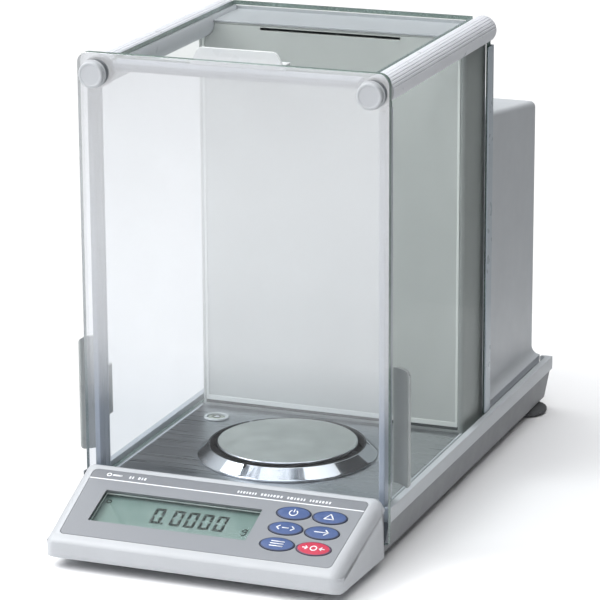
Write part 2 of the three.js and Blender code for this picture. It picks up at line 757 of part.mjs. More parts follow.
// The overlay is a rounded oblong with a separate-looking band above it, narrower at the front.
function panelOutline(grow) {
  const half = PANEL.half + grow;
  const nearHalf = half - 3;
  const far = PANEL.band + grow;
  const near = -PANEL.length - grow;
  const round = PANEL.corner;
  const shape = new THREE.Shape();
  shape.moveTo(-nearHalf + round, near);
  shape.lineTo(nearHalf - round, near);
  shape.quadraticCurveTo(nearHalf, near, nearHalf + 0.2, near + round);
  shape.lineTo(half, far - round);
  shape.quadraticCurveTo(half, far, half - round, far);
  shape.lineTo(-half + round, far);
  shape.quadraticCurveTo(-half, far, -half, far - round);
  shape.lineTo(-nearHalf - 0.2, near + round);
  shape.quadraticCurveTo(-nearHalf, near, -nearHalf + round, near);
  return shape;
}

function consolePanel() {
  const sheet = prismZ(panelOutline(0), -PANEL.thick, 0, 3);
  const window = block(WINDOW.left, WINDOW.right, WINDOW.near, WINDOW.far, -5, 5);
  const keyHoles = keyPlaces().map(([x, y]) => {
    return prismZ(ellipse(x, y, KEY.halfX + KEY.clear, KEY.halfY + KEY.clear), -5, 5, 12);
  });
  return cut(sheet, window, ...keyHoles);
}

function displayWindow() {
  return block(WINDOW.left + 0.3, WINDOW.right - 0.3, WINDOW.near + 0.3, WINDOW.far - 0.3, -3, -1.8);
}

function lcdModule() {
  return block(WINDOW.left - 4, WINDOW.right + 4, WINDOW.near - 4, WINDOW.far + 4, -10.5, -5.2);
}

function keyBoard() {
  const sheet = block(34, 86, -48, -1, -7.6, -6);
  const domes = keyPlaces().map(([x, y]) => {
    return new THREE.CylinderGeometry(2.5, 3.5, 1.2, 16).rotateX(Math.PI / 2).translate(x, y, -5.5);
  });
  return join(sheet, ...domes);
}

// A key: an oval plunger with a gently domed top.
function keyCap(x, y) {
  const low = KEY.proud - KEY.thick;
  const stem = prismZ(ellipse(x, y, KEY.halfX, KEY.halfY), low, KEY.proud - 0.4, 14);
  const crown = prismZ(ellipse(x, y, KEY.halfX - 0.5, KEY.halfY - 0.5), KEY.proud - 0.5, KEY.proud, 14);
  return join(stem, crown);
}

add("console_housing", consoleHousing(), "housing");
add("console_panel", consolePanel(), "panel", consoleFace);
add("display_window", displayWindow(), "lens", consoleFace);
add("lcd_module", lcdModule(), "lcd", consoleFace);
add("key_board", keyBoard(), "board", consoleFace);

const KEY_NAMES = ["power_key", "range_key", "mode_key", "cal_key", "print_key", "zero_key"];
keyPlaces().forEach(([x, y], i) => {
  const finish = KEY_NAMES[i] === "zero_key" ? "keyRed" : "keyBlue";
  add(KEY_NAMES[i], keyCap(x, y), finish, consoleFace);
});

// ---- Pan, support and draft ring ----------------------------------------------------------------

function weighingPan() {
  const { radius, top } = PAN;
  const profile = [
    [0, top - 1],
    [radius - 2, top - 1],
    [radius - 1.4, top - 2.6],
    [radius - 0.4, top - 2.6],
    [radius, top - 2],
    [radius, top - 0.6],
    [radius - 0.6, top],
    [0, top],
  ];
  return turnedZ(profile, 0, PAN.y, 48);
}

function panSupport() {
  const top = PAN.top - 1 - GAP;
  const low = ARM.top + GAP;
  const profile = [
    [0, low],
    [3.5, low],
    [3.5, 34.5],
    [6, 35.5],
    [16, top - 1.5],
    [16, top],
    [0, top],
  ];
  return turnedZ(profile, 0, PAN.y, 20);
}

function breezeRing() {
  const low = DECK.floor + GAP;
  const profile = [
    [RING.inner, low],
    [RING.outer, low],
    [RING.outer, low + 0.9],
    [RING.outer - 0.8, low + 1.6],
    [RING.crest + 0.4, RING.top - 0.1],
    [RING.crest, RING.top],
    [RING.inner, RING.top - 0.2],
    [RING.inner, low],
  ];
  const ring = turnedZ(profile, 0, PAN.y, 56);
  const notches = [0, 1, 2].map((i) => {
    const turn = THREE.MathUtils.degToRad(20 + i * 120);
    const notch = block(-3, 3, -1.1, 1.1, RING.top - 2.2, RING.top + 1);
    return notch.translate(RING.inner, 0, 0).rotateZ(turn).translate(0, PAN.y, 0);
  });
  return cut(ring, ...notches);
}

add("weighing_pan", weighingPan(), "stainless");
add("pan_support", panSupport(), "steel");
add("breeze_ring", breezeRing(), "chrome");

// ---- Weigh cell and electronics -----------------------------------------------------------------

// Arm from under the pan back to the coil, with a riser behind the chamber wall.
function loadArm() {
  const outline = shapeOf([
    [PAN.y - 8, ARM.bottom],
    [ARM.riserRear, ARM.bottom],
    [ARM.riserRear, ARM.upper],
    [MAGNET.y + 10, ARM.upper],
    [MAGNET.y + 10, ARM.upperTop],
    [ARM.riser, ARM.upperTop],
    [ARM.riser, ARM.top],
    [PAN.y - 8, ARM.top],
  ]);
  return prismX(outline, -ARM.half, ARM.half);
}

function forceCoil() {
  const inner = MAGNET.slotIn + 1.5;
  const outer = MAGNET.slotOut - 1.5;
  const top = ARM.upper - GAP;
  const profile = [
    [0, top - 2],
    [inner, top - 2],
    [inner, MAGNET.slotBottom + 6],
    [outer, MAGNET.slotBottom + 6],
    [outer, top],
    [0, top],
  ];
  return turnedZ(profile, 0, MAGNET.y, 20);
}

function magnetHousing() {
  const profile = [
    [0, MAGNET.bottom],
    [MAGNET.radius, MAGNET.bottom],
    [MAGNET.radius, MAGNET.top],
    [MAGNET.slotOut, MAGNET.top],
    [MAGNET.slotOut, MAGNET.slotBottom],
    [MAGNET.slotIn, MAGNET.slotBottom],
    [MAGNET.slotIn, MAGNET.top],
    [0, MAGNET.top],
  ];
  return turnedZ(profile, 0, MAGNET.y, 20);
}

function calibrationMass() {
  const bar = new THREE.CylinderGeometry(MASS.radius, MASS.radius, 2 * MASS.half, 20);
  return bar.rotateZ(Math.PI / 2).translate(0, MASS.y, MASS.z);
}

// Motor that lowers the built-in mass onto the arm, with the cradle that carries it.
function calibrationMotor() {
  const { y, z, half, radius } = MASS;
  const body = block(half + 3, half + 27, y - 9, y + 9, DECK.plate + GAP, z + 16);
  const cradle = block(-half - 2, half + 4, y - radius, y + radius, z - radius - 6, z - radius - GAP);
  return join(body, cradle);
}

function mainBoard() {
  const sheet = block(-66, 66, 170, 171.6, 44, 170);
  const parts = [
    block(-50, -20, 164, 170.5, 120, 150),
    block(0, 24, 166, 170.5, 100, 124),
    block(34, 54, 160, 170.5, 60, 84),
    block(-56, -30, 166, 170.5, 60, 76),
  ];
  const cans = [-8, 4, 16].map((x) => cylinderY(x, 68, 158, 170.5, 5, 12));
  return join(sheet, ...parts, ...cans);
}

add("load_arm", loadArm(), "steel");
add("force_coil", forceCoil(), "copper");
add("magnet_housing", magnetHousing(), "steel");
add("calibration_mass", calibrationMass(), "chrome");
add("calibration_motor", calibrationMotor(), "black");
add("main_board", mainBoard(), "board");

// ---- Feet ---------------------------------------------------------------------------------------

function footStud(side) {
  return cylinderZ(side * FOOT.x, FOOT.y, FOOT.discTop + GAP, FOOT.studTop, FOOT.studRadius, 24);
}

// Knurled levelling disc: a low cone with shallow finger scallops round its rim.
function footDisc(side) {
  const { discRadius, discTop } = FOOT;
  const profile = [
    [0, 0],
    [discRadius - 2, 0],
    [discRadius - 0.8, 0.8],
    [discRadius, 1.6],
    [discRadius, 3.2],
    [discRadius - 0.8, 3.9],
    [8, discTop],
    [0, discTop],
  ];
  const disc = turnedZ(profile, 0, 0, 36);
  const scallops = Array.from({ length: 12 }, (_, i) => {
    const turn = (i / 12) * 2 * Math.PI;
    const reach = discRadius + 2.2;
    return cylinderZ(reach * Math.cos(turn), reach * Math.sin(turn), 1, 6, 3, 8);
  });
  return cut(disc, ...scallops).translate(side * FOOT.x, FOOT.y, 0);
}

function frontFoot(side) {
  const profile = [
    [0, 0],
    [PAD.radius - 1, 0],
    [PAD.radius, 1],
    [PAD.radius + 0.8, PAD.top],
    [0, PAD.top],
  ];
  return turnedZ(profile, side * PAD.x, PAD.y, 24);
}

for (const [name, side] of SIDES) {
  add("foot_stud_" + name, footStud(side), "steel");
  add("foot_disc_" + name, footDisc(side), "rubber");
  add("front_foot_" + name, frontFoot(side), "rubber");
}

export default balance;
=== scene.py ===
"""Looks of an analytical balance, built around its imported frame.

The scene is in metres. Pieces are drawn in millimetres in the frame's own axes: +X to the user's right,
+Y to the rear, +Z up. Each piece takes its place from the box of the CAD node that it stands for.
"""

import math
import random

import bmesh
import bpy
from mathutils import Matrix, Vector


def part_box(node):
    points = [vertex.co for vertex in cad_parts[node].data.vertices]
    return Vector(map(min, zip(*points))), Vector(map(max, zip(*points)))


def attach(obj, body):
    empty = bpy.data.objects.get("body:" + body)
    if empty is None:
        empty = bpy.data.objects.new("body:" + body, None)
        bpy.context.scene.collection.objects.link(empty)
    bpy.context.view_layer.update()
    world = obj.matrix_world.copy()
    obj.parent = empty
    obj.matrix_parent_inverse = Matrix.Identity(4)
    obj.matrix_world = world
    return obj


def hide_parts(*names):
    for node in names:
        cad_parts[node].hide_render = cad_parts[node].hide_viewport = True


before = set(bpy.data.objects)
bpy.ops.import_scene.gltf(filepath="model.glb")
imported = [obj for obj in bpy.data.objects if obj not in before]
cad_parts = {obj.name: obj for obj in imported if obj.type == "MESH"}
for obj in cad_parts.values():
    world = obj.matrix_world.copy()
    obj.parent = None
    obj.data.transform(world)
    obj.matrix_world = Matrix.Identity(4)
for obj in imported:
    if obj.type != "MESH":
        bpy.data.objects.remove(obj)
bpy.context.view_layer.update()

MM = 0.001
SIDES = (("left", -1), ("right", 1))


# ---- Places from the frame ----------------------------------------------------------------------


class Span:
    """The box of a CAD node at rest, in millimetres."""

    def __init__(self, node):
        low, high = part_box(node)
        self.x0, self.y0, self.z0 = (value / MM for value in low)
        self.x1, self.y1, self.z1 = (value / MM for value in high)
        self.x = (self.x0 + self.x1) / 2
        self.y = (self.y0 + self.y1) / 2
        self.z = (self.z0 + self.z1) / 2


# ---- Outlines: lists of (u, v) points ------------------------------------------------------------


def arc(u, v, radius, start, end, steps=12):
    """Points on an arc round (u, v), angles in degrees."""
    turns = [math.radians(start + (end - start) * i / steps) for i in range(steps + 1)]
    return [(u + radius * math.cos(t), v + radius * math.sin(t)) for t in turns]


def rounded(corners, steps=8):
    """Outline with round corners. Each corner is (u, v, radius)."""
    points = []
    for i, (u, v, radius) in enumerate(corners):
        here = Vector((u, v))
        before = Vector(corners[i - 1][:2]) - here
        after = Vector(corners[(i + 1) % len(corners)][:2]) - here
        if radius <= 0:
            points.append((u, v))
            continue
        half = before.angle(after) / 2
        reach = radius / math.tan(half)
        start = here + before.normalized() * reach
        end = here + after.normalized() * reach
        middle = here + (before.normalized() + after.normalized()).normalized() * radius / math.sin(half)
        first = (start - middle).normalized()
        last = (end - middle).normalized()
        sweep = first.angle(last)
        side = 1 if first.cross(last) > 0 else -1
        for k in range(steps + 1):
            turn = Matrix.Rotation(side * sweep * k / steps, 2)
            points.append(tuple(middle + turn @ first * radius))
    return points


def oblong(u0, v0, u1, v1, radius, steps=8):
    return rounded([(u0, v0, radius), (u1, v0, radius), (u1, v1, radius), (u0, v1, radius)], steps)


def ellipse(u, v, half_u, half_v, steps=64):
    turns = [2 * math.pi * i / steps for i in range(steps)]
    return [(u + half_u * math.cos(t), v + half_v * math.sin(t)) for t in turns]


def bezier(start, bend, end, steps=10):
    """Points on a quadratic curve, without its first point."""
    points = []
    for i in range(1, steps + 1):
        t = i / steps
        a, b, c = (1 - t) ** 2, 2 * t * (1 - t), t * t
        points.append(tuple(a * start[k] + b * bend[k] + c * end[k] for k in (0, 1)))
    return points


# ---- Meshes ---------------------------------------------------------------------------------------

PLACE = {
    "X": lambda u, v, w: Vector((w, u, v)),
    "Y": lambda u, v, w: Vector((u, w, v)),
    "Z": lambda u, v, w: Vector((u, v, w)),
}


def mesh_object(name, points, faces):
    mesh = bpy.data.meshes.new(name)
    mesh.from_pydata([Vector(p) * MM for p in points], [], faces)
    obj = bpy.data.objects.new(name, mesh)
    bpy.context.scene.collection.objects.link(obj)
    turn_out(mesh)
    return obj


def turn_out(mesh):
    """Faces point out of the closed mesh, and shade smooth."""
    work = bmesh.new()
    work.from_mesh(mesh)
    bmesh.ops.remove_doubles(work, verts=work.verts, dist=1e-7)
    bmesh.ops.recalc_face_normals(work, faces=work.faces)
    for face in work.faces:
        face.smooth = True
    work.to_mesh(mesh)
    work.free()


def prism(name, outline, axis, low, high):
    """The outline, drawn across the axis, extruded along it."""
    place = PLACE[axis]
    count = len(outline)
    points = [place(u, v, low) for u, v in outline] + [place(u, v, high) for u, v in outline]
    faces = [tuple(range(count)), tuple(range(count, 2 * count))]
    faces += [(i, (i + 1) % count, count + (i + 1) % count, count + i) for i in range(count)]
    return mesh_object(name, points, faces)


def block(name, x0, x1, y0, y1, z0, z1):
    return prism(name, [(x0, y0), (x1, y0), (x1, y1), (x0, y1)], "Z", z0, z1)


def turned(name, profile, centre=(0, 0), axis="Z", steps=96, radius_at=None):
    """A profile of (radius, height) points turned round an axis through centre, closed at both ends."""
    points = []
    faces = []
    rings = []
    for radius, height in profile:
        if radius < 1e-6:
            rings.append([len(points)])
            points.append(PLACE[axis](centre[0], centre[1], height))
            continue
        rings.append(list(range(len(points), len(points) + steps)))
        for i in range(steps):
            t = 2 * math.pi * i / steps
            r = radius if radius_at is None else radius_at(radius, height, t)
            points.append(PLACE[axis](centre[0] + r * math.cos(t), centre[1] + r * math.sin(t), height))
    closed = profile[0][0] >= 1e-6 and profile[-1][0] >= 1e-6
    pairs = list(zip(rings, rings[1:])) + ([(rings[-1], rings[0])] if closed else [])
    for below, above in pairs:
        for i in range(steps):
            j = (i + 1) % steps
            loop = [below[k % len(below)] for k in (i, j)] + [above[k % len(above)] for k in (j, i)]
            faces.append(tuple(dict.fromkeys(loop)))
    return mesh_object(name, points, [face for face in faces if len(face) > 2])


def settled(obj):
    """Applies the modifiers to the object's own mesh."""
    bpy.context.view_layer.update()
    shown = obj.evaluated_get(bpy.context.evaluated_depsgraph_get())
    mesh = bpy.data.meshes.new_from_object(shown)
    obj.modifiers.clear()
    obj.data = mesh
    return obj


def carve(obj, *tools, operation="DIFFERENCE"):
    """Cuts the tools out of the object, or keeps what it shares with them."""
    for tool in tools:
        modifier = obj.modifiers.new("carve", "BOOLEAN")
        modifier.operation = operation
        modifier.solver = "EXACT"
        modifier.object = tool
    settled(obj)
    for tool in tools:
        bpy.data.objects.remove(tool)
    turn_out(obj.data)
    return obj


def joined(name, objects):
    """One object from several, which keep their own material slots."""
    mesh = bpy.data.meshes.new(name)
    work = bmesh.new()
    materials = []
    for obj in objects:
        start = len(work.faces)
        part = obj.data.copy()
        part.transform(obj.matrix_world)
        work.from_mesh(part)
        work.faces.ensure_lookup_table()
        own = list(obj.data.materials)
        for face in work.faces[start:]:
            material = own[face.material_index] if own else None
            if material not in materials:
                materials.append(material)
            face.material_index = materials.index(material)
        bpy.data.objects.remove(obj)
    work.to_mesh(mesh)
    work.free()
    for material in materials:
        mesh.materials.append(material)
    obj = bpy.data.objects.new(name, mesh)
    bpy.context.scene.collection.objects.link(obj)
    return obj


def mirrored(obj, side):
    """A piece drawn for the right-hand side, turned into the left-hand one when side is -1."""
    if side < 0:
        obj.data.transform(Matrix.Scale(-1, 4, (1, 0, 0)))
        turn_out(obj.data)
    return obj


def soften(obj, width, segments=3, angle=30):
    """Rounds the edges by modifiers, and evens out the shading of flat faces."""
    bevel = obj.modifiers.new("edges", "BEVEL")
    bevel.width = width * MM
    bevel.segments = segments
    bevel.limit_method = "ANGLE"
    bevel.angle_limit = math.radians(angle)
    bevel.miter_outer = "MITER_ARC"
    shade = obj.modifiers.new("shade", "WEIGHTED_NORMAL")
    shade.keep_sharp = True
    return obj


def coated(obj, pick, *materials):
    """Each polygon takes the material whose number pick gives for it."""
    obj.data.materials.clear()
    for material in materials:
        obj.data.materials.append(material)
    for polygon in obj.data.polygons:
        polygon.material_index = pick(polygon)
    return obj


def wear(obj, material):
    """The whole object takes one material."""
    return coated(obj, lambda polygon: 0, material)


def edged(obj, face_material, edge_material, axis):
    """Faces across the axis take one material, and the narrow sides another."""
    across = "XYZ".index(axis)
    return coated(obj, lambda polygon: int(abs(polygon.normal[across]) <= 0.9), face_material, edge_material)


def dress(node, material, width=0.4, segments=3):
    """A CAD node keeps its shape and gets round edges and a better material."""
    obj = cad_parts[node]
    wear(obj, material)
    for polygon in obj.data.polygons:
        polygon.use_smooth = True
    weld = obj.modifiers.new("weld", "WELD")
    weld.merge_threshold = 0.002 * MM
    flat = obj.modifiers.new("flat", "DECIMATE")
    flat.decimate_type = "DISSOLVE"
    flat.angle_limit = math.radians(0.5)
    return soften(obj, width, segments)


def place(obj, body, slot, *nodes):
    """The piece rides on a body and stands for the CAD nodes, which it hides; the slot argument is not used.
    """
    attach(obj, body)
    if nodes:
        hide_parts(*nodes)
    return obj


# ---- Materials --------------------------------------------------------------------------------------


def colour(red, green, blue):
    """A colour as it looks on screen, 0 to 255, turned into light."""
    linear = []
    for value in (red, green, blue):
        share = value / 255
        linear.append(share / 12.92 if share <= 0.04045 else ((share + 0.055) / 1.055) ** 2.4)
    return (*linear, 1.0)


def shaded(tone, factor):
    return tuple(min(1.0, value * factor) for value in tone[:3]) + (1.0,)


class Graph:
    """Shader nodes, patterned in one set of coordinates."""

    def __init__(self, tree, coordinates):
        self.tree = tree
        self.where = self.node("ShaderNodeTexCoord").outputs[coordinates]

    def node(self, kind, **settings):
        made = self.tree.nodes.new(kind)
        for key, value in settings.items():
            setattr(made, key, value)
        return made

    def feed(self, value, socket):
        """A socket is linked, and a number or colour is set."""
        if isinstance(value, bpy.types.NodeSocket):
            self.tree.links.new(value, socket)
        else:
            socket.default_value = value

    def vector(self, operation, start, value, output=0):
        """One step of vector arithmetic."""
        step = self.node("ShaderNodeVectorMath", operation=operation)
        self.feed(start, step.inputs[0])
        self.feed(value, step.inputs[1])
        return step.outputs[output]

    def towards(self, direction):
        """1 straight along the direction, 0 square to it."""
        return self.vector("DOT_PRODUCT", self.where, Vector(direction).normalized(), "Value")

    def part(self, axis):
        split = self.node("ShaderNodeSeparateXYZ")
        self.feed(self.where, split.inputs[0])
        return split.outputs[axis]

    def noise(self, size, detail=2.0, stretch=(1, 1, 1)):
        """Noise whose features are about size millimetres, times stretch along each axis."""
        texture = self.node("ShaderNodeTexNoise")
        self.feed(1 / (size * MM), texture.inputs["Scale"])
        self.feed(detail, texture.inputs["Detail"])
        scaled = self.vector("MULTIPLY", self.where, tuple(1 / share for share in stretch))
        self.feed(scaled, texture.inputs["Vector"])
        return texture.outputs["Fac"]

    def maths(self, operation, *values):
        step = self.node("ShaderNodeMath", operation=operation)
        for value, socket in zip(values, step.inputs):
            self.feed(value, socket)
        return step.outputs[0]

    def spread(self, source, low, high, start=0.3, end=0.7, **settings):
        """The source's range from start to end becomes low to high."""
        ranged = self.node("ShaderNodeMapRange", **settings)
        for value, name in ((start, "From Min"), (end, "From Max"), (low, "To Min"), (high, "To Max")):
            self.feed(value, ranged.inputs[name])
        self.feed(source, ranged.inputs["Value"])
        return ranged.outputs["Result"]

    def mix(self, share, first, second, **settings):
        """Blends two colours by a share."""
        mixed = self.node("ShaderNodeMix", data_type="RGBA", **settings)
        for value, socket in zip((share, first, second), (mixed.inputs["Factor"], *mixed.inputs[6:8])):
            self.feed(value, socket)
        return mixed.outputs[2]

    def blend(self, share, first, second):
        """Blends two shaders by a share."""
        both = self.node("ShaderNodeMixShader")
        for value, socket in zip((share, first, second), both.inputs):
            self.feed(value, socket)
        return both.outputs[0]


class Finish(Graph):
    """A material, patterned in the object's own coordinates."""

    def __init__(self, name):
        self.material = bpy.data.materials.new(name)
        self.material.use_nodes = True
        super().__init__(self.material.node_tree, "Object")
        self.shader = self.tree.nodes["Principled BSDF"]
        self.surface = self.tree.nodes["Material Output"].inputs["Surface"]

    def paint(self, tone):
        self.feed(tone, self.shader.inputs["Base Color"])

    def roughen(self, source, low, high):
        self.feed(self.spread(source, low, high), self.shader.inputs["Roughness"])

    def varied(self, source, tone, dark, light):
        """The tone, darker and lighter with the source."""
        return self.mix(self.spread(source, 0.0, 1.0), shaded(tone, dark), shaded(tone, light))

    def bump(self, height, depth, strength=1.0):
        """Relief depth millimetres deep."""
        relief = self.node("ShaderNodeBump")
        self.feed(strength, relief.inputs["Strength"])
        self.feed(depth * MM, relief.inputs["Distance"])
        self.feed(height, relief.inputs["Height"])
        self.feed(relief.outputs["Normal"], self.shader.inputs["Normal"])

    def paler_on_edges(self, most, inside, edge):
        """Blends towards the edge colour on outer edges."""
        sharp = self.node("ShaderNodeNewGeometry").outputs["Pointiness"]
        edge_share = self.spread(sharp, 0.0, 1.0, 0.52, 0.62)
        return self.mix(self.spread(edge_share, 0.0, most, 0, 1), inside, edge)


def moulded(name, tone, rough=0.42, grain=0.35, depth=0.012):
    """Moulded and painted plastic: fine grain, faint clouding, outer edges paler."""
    finish = Finish(name)
    fine = finish.noise(grain, 3)
    body = finish.varied(finish.noise(38, 3), tone, 0.965, 1.03)
    speckled = finish.mix(finish.spread(fine, 0.0, 0.5, 0.35, 0.65), body, shaded(tone, 0.93))
    finish.paint(finish.paler_on_edges(0.35, speckled, shaded(tone, 1.14)))
    finish.roughen(finish.noise(9, 4), rough - 0.05, rough + 0.07)
    finish.bump(fine, depth)
    return finish.material


def brushed(name, tone, rough=0.32, stretch=(60, 1, 1), line=0.22, depth=0.004):
    """Metal with fine straight brush lines."""
    finish = Finish(name)
    lines = finish.noise(line, 4, stretch)
    broad = finish.noise(line * 9, 3, stretch)
    marks = finish.varied(lines, tone, 0.86, 1.12)
    finish.paint(finish.mix(finish.spread(broad, 0.0, 0.6), marks, shaded(tone, 1.06)))
    finish.shader.inputs["Metallic"].default_value = 1.0
    finish.roughen(broad, rough - 0.06, rough + 0.1)
    finish.bump(lines, depth, 0.6)
    return finish.material


def shade_well(material):
    """Painted shade: the floor plate is painted near black in the narrow gap under the pan, fading back to
    its own colour between two radii.
    """
    pan = Span("weighing_pan")
    well_radius, unshaded_radius = 50, 56
    shade = (0.015, 0.016, 0.018, 1)
    graph = Graph(material.node_tree, "Object")
    base = graph.tree.nodes["Principled BSDF"].inputs["Base Color"]
    unshaded_colour = base.links[0].from_socket
    flat = graph.vector("MULTIPLY", graph.where, (1, 1, 0))
    reach = graph.vector("DISTANCE", flat, (pan.x * MM, pan.y * MM, 0), "Value")
    fade = graph.spread(reach, 0.0, 1.0, well_radius * MM, unshaded_radius * MM)
    graph.feed(graph.mix(fade, shade, unshaded_colour), base)


def satin(name, tone, rough=0.34):
    """Fine satin metal with faint round marks of use."""
    finish = Finish(name)
    smudges = finish.noise(14, 4)
    finish.paint(finish.varied(smudges, tone, 0.95, 1.05))
    finish.shader.inputs["Metallic"].default_value = 1.0
    finish.roughen(smudges, rough - 0.04, rough + 0.08)
    finish.bump(finish.noise(0.25, 3), 0.003, 0.5)
    return finish.material


def polished(name, tone, rough=0.05):
    """Chrome plate: a mirror with faint wipe marks."""
    finish = Finish(name)
    wipes = finish.noise(6, 5)
    finish.paint(finish.varied(wipes, tone, 0.97, 1.0))
    finish.shader.inputs["Metallic"].default_value = 1.0
    finish.roughen(wipes, rough, rough + 0.06)
    finish.bump(finish.noise(1.1, 2), 0.001, 0.4)
    return finish.material


def pane(name, tint, mirror, slant=0.2, bands=()):
    """Clear sheet that shows what is behind it unbent.

    It mirrors a fixed share of light and more at a slant. Each band of (low, high, share) adds a share
    that sets in between two heights in metres.
    """
    finish = Finish(name)
    finish.tree.nodes.remove(finish.shader)
    smears = finish.noise(45, 3)
    clear = finish.node("ShaderNodeBsdfTransparent")
    finish.feed(finish.varied(smears, tint, 0.985, 1.0), clear.inputs["Color"])
    gloss = finish.node("ShaderNodeBsdfGlossy")
    finish.feed(finish.spread(smears, 0.01, 0.05), gloss.inputs["Roughness"])
    facing = finish.node("ShaderNodeLayerWeight")
    facing.inputs["Blend"].default_value = 0.5
    steep = finish.maths("POWER", facing.outputs["Facing"], 5.0)
    share = finish.maths("MULTIPLY_ADD", steep, slant, mirror)
    for low, high, more in bands:
        share = finish.maths("ADD", share, finish.spread(finish.part("Z"), 0.0, more, low, high))
    finish.feed(finish.blend(share, clear.outputs[0], gloss.outputs[0]), finish.surface)
    return finish.material


def smoky(name, tone, clear_share, rough=0.3):
    """Tinted plastic that lets part of what is behind it show through."""
    finish = Finish(name)
    haze = finish.noise(24, 3)
    # Painted highlight: outer edges are lightened to 1.7 times the tone, up to white.
    finish.paint(finish.paler_on_edges(0.6, finish.varied(haze, tone, 0.95, 1.05), shaded(tone, 1.7)))
    finish.roughen(haze, rough - 0.05, rough + 0.05)
    finish.bump(finish.noise(0.3, 2), 0.006)
    clear = finish.node("ShaderNodeBsdfTransparent")
    share = finish.spread(haze, clear_share - 0.03, clear_share + 0.03)
    finish.feed(finish.blend(share, finish.shader.outputs[0], clear.outputs[0]), finish.surface)
    return finish.material


def glass_edge(name, tone, rough=0.25):
    """Ground edge of a glass sheet: green, half clear, with fine grinding marks."""
    finish = Finish(name)
    marks = finish.noise(0.6, 4)
    body = finish.varied(finish.noise(22, 2), tone, 0.8, 1.15)
    finish.paint(finish.mix(finish.spread(marks, 0.0, 0.4), body, shaded(tone, 1.3)))
    finish.roughen(marks, rough - 0.1, rough + 0.1)
    finish.shader.inputs["Transmission Weight"].default_value = 0.25
    finish.shader.inputs["IOR"].default_value = 1.5
    finish.bump(marks, 0.01)
    return finish.material


def printed(name, tone, rough=0.45):
    """Screen-printed film over plastic: flat ink with a fine dot texture."""
    finish = Finish(name)
    dots = finish.noise(0.3, 2)
    clouds = finish.noise(30, 2)
    ink = finish.varied(dots, tone, 0.965, 1.035)
    finish.paint(finish.mix(finish.spread(clouds, 0.0, 0.5), ink, shaded(tone, 1.02)))
    finish.roughen(clouds, rough - 0.04, rough + 0.06)
    finish.bump(dots, 0.006)
    return finish.material


def screen(name, tone):
    """Reflective liquid crystal: grey-green with a faint pixel-fine texture."""
    finish = Finish(name)
    fine = finish.noise(0.16, 2)
    body = finish.varied(finish.noise(26, 2), tone, 0.93, 1.05)
    finish.paint(finish.mix(finish.spread(fine, 0.0, 0.3), body, shaded(tone, 0.85)))
    finish.roughen(fine, 0.3, 0.42)
    finish.bump(fine, 0.002)
    return finish.material


def circuit(name, tone):
    """Board lacquer with darker tracks under it."""
    finish = Finish(name)
    track_pitch = 5
    tracks = finish.node("ShaderNodeTexVoronoi", distance="MANHATTAN")
    finish.feed(1 / (track_pitch * MM), tracks.inputs["Scale"])
    finish.feed(finish.where, tracks.inputs["Vector"])
    share = finish.spread(tracks.outputs["Distance"], 0.0, 1.0, 0.25, 0.35)
    finish.paint(finish.mix(share, shaded(tone, 1.35), tone))
    finish.roughen(finish.noise(4, 2), 0.3, 0.5)
    finish.bump(share, 0.03)
    return finish.material


HOUSING = moulded("housing_plastic", colour(184, 187, 191), 0.42)
SHELL = moulded("shell_plastic", colour(200, 204, 208), 0.46)
DECK = moulded("deck_plastic", colour(194, 198, 202), 0.48)
TRAY = moulded("tray_plastic", colour(140, 142, 145), 0.55, 0.5, 0.02)
TOWER = moulded("tower_paint", colour(172, 176, 174), 0.5)
WALL = moulded("wall_paint", colour(190, 194, 191), 0.55, 0.3, 0.006)
RAIL = moulded("rail_coating", colour(234, 236, 241), 0.32, 0.25, 0.004)
POST = moulded("post_coating", colour(178, 184, 192), 0.36, 0.25, 0.004)
WALL_RIM = moulded("wall_rim", colour(222, 226, 222), 0.4, 0.3, 0.006)
GRIP = smoky("grip_plastic", colour(166, 170, 170), 0.25)
TRIM = moulded("trim_plastic", colour(176, 186, 194), 0.3, 0.3, 0.006)
RUBBER = moulded("foot_rubber", colour(92, 94, 96), 0.7, 0.6, 0.03)
BLACK = moulded("black_plastic", colour(44, 46, 48), 0.5)
# Painted shadow colour for the strip in the joint under the wall panel.
PAINTED_SLOT_SHADOW = moulded("slot_shadow", colour(70, 74, 74), 0.7)
FLOOR_STEEL = brushed("floor_steel", colour(206, 209, 212), 0.3, line=0.13, depth=0.002)
# Painted shade on the floor plate under the pan.
shade_well(FLOOR_STEEL)
PAN_STEEL = satin("pan_steel", colour(232, 235, 230), 0.36)
STEEL = brushed("turned_steel", colour(170, 172, 174), 0.36, (1, 1, 12))
CHROME = polished("chrome_plate", colour(226, 229, 232))
COPPER = satin("copper_wire", colour(196, 124, 74), 0.4)
FRONT_PANE = pane("front_pane", colour(243, 245, 248), 0.02, 0.3, ((0.08, 0.125, 0.22), (0.12, 0.28, 0.18)))
DOOR_PANE = pane("door_pane", colour(250, 251, 251), 0.006, 0.06)
TOP_PANE = pane("top_pane", colour(251, 252, 252), 0.008, 0.06)
TAB_PANE = smoky("tab_acrylic", colour(246, 249, 252), 0.35)
TAB_EDGE = glass_edge("tab_edge", colour(238, 241, 246), 0.3)
LENS_PANE = pane("display_pane", colour(244, 248, 246), 0.015, 0.2)
GREEN_EDGE = glass_edge("glass_edge", colour(122, 140, 134))
FILM = printed("panel_film", colour(136, 139, 144))
FILM_BAND = printed("panel_band", colour(124, 127, 132))
WHITE_INK = printed("white_ink", colour(240, 242, 246), 0.5)
LCD = screen("lcd_glass", colour(133, 149, 149))
LCD_INK = printed("lcd_segment", colour(20, 26, 27), 0.5)
BLUE = printed("blue_key", colour(62, 84, 132), 0.38)
BLUE_RIM = printed("blue_key_rim", colour(40, 50, 78), 0.4)
RED = printed("red_key", colour(186, 40, 70), 0.38)
RED_RIM = printed("red_key_rim", colour(84, 56, 82), 0.4)
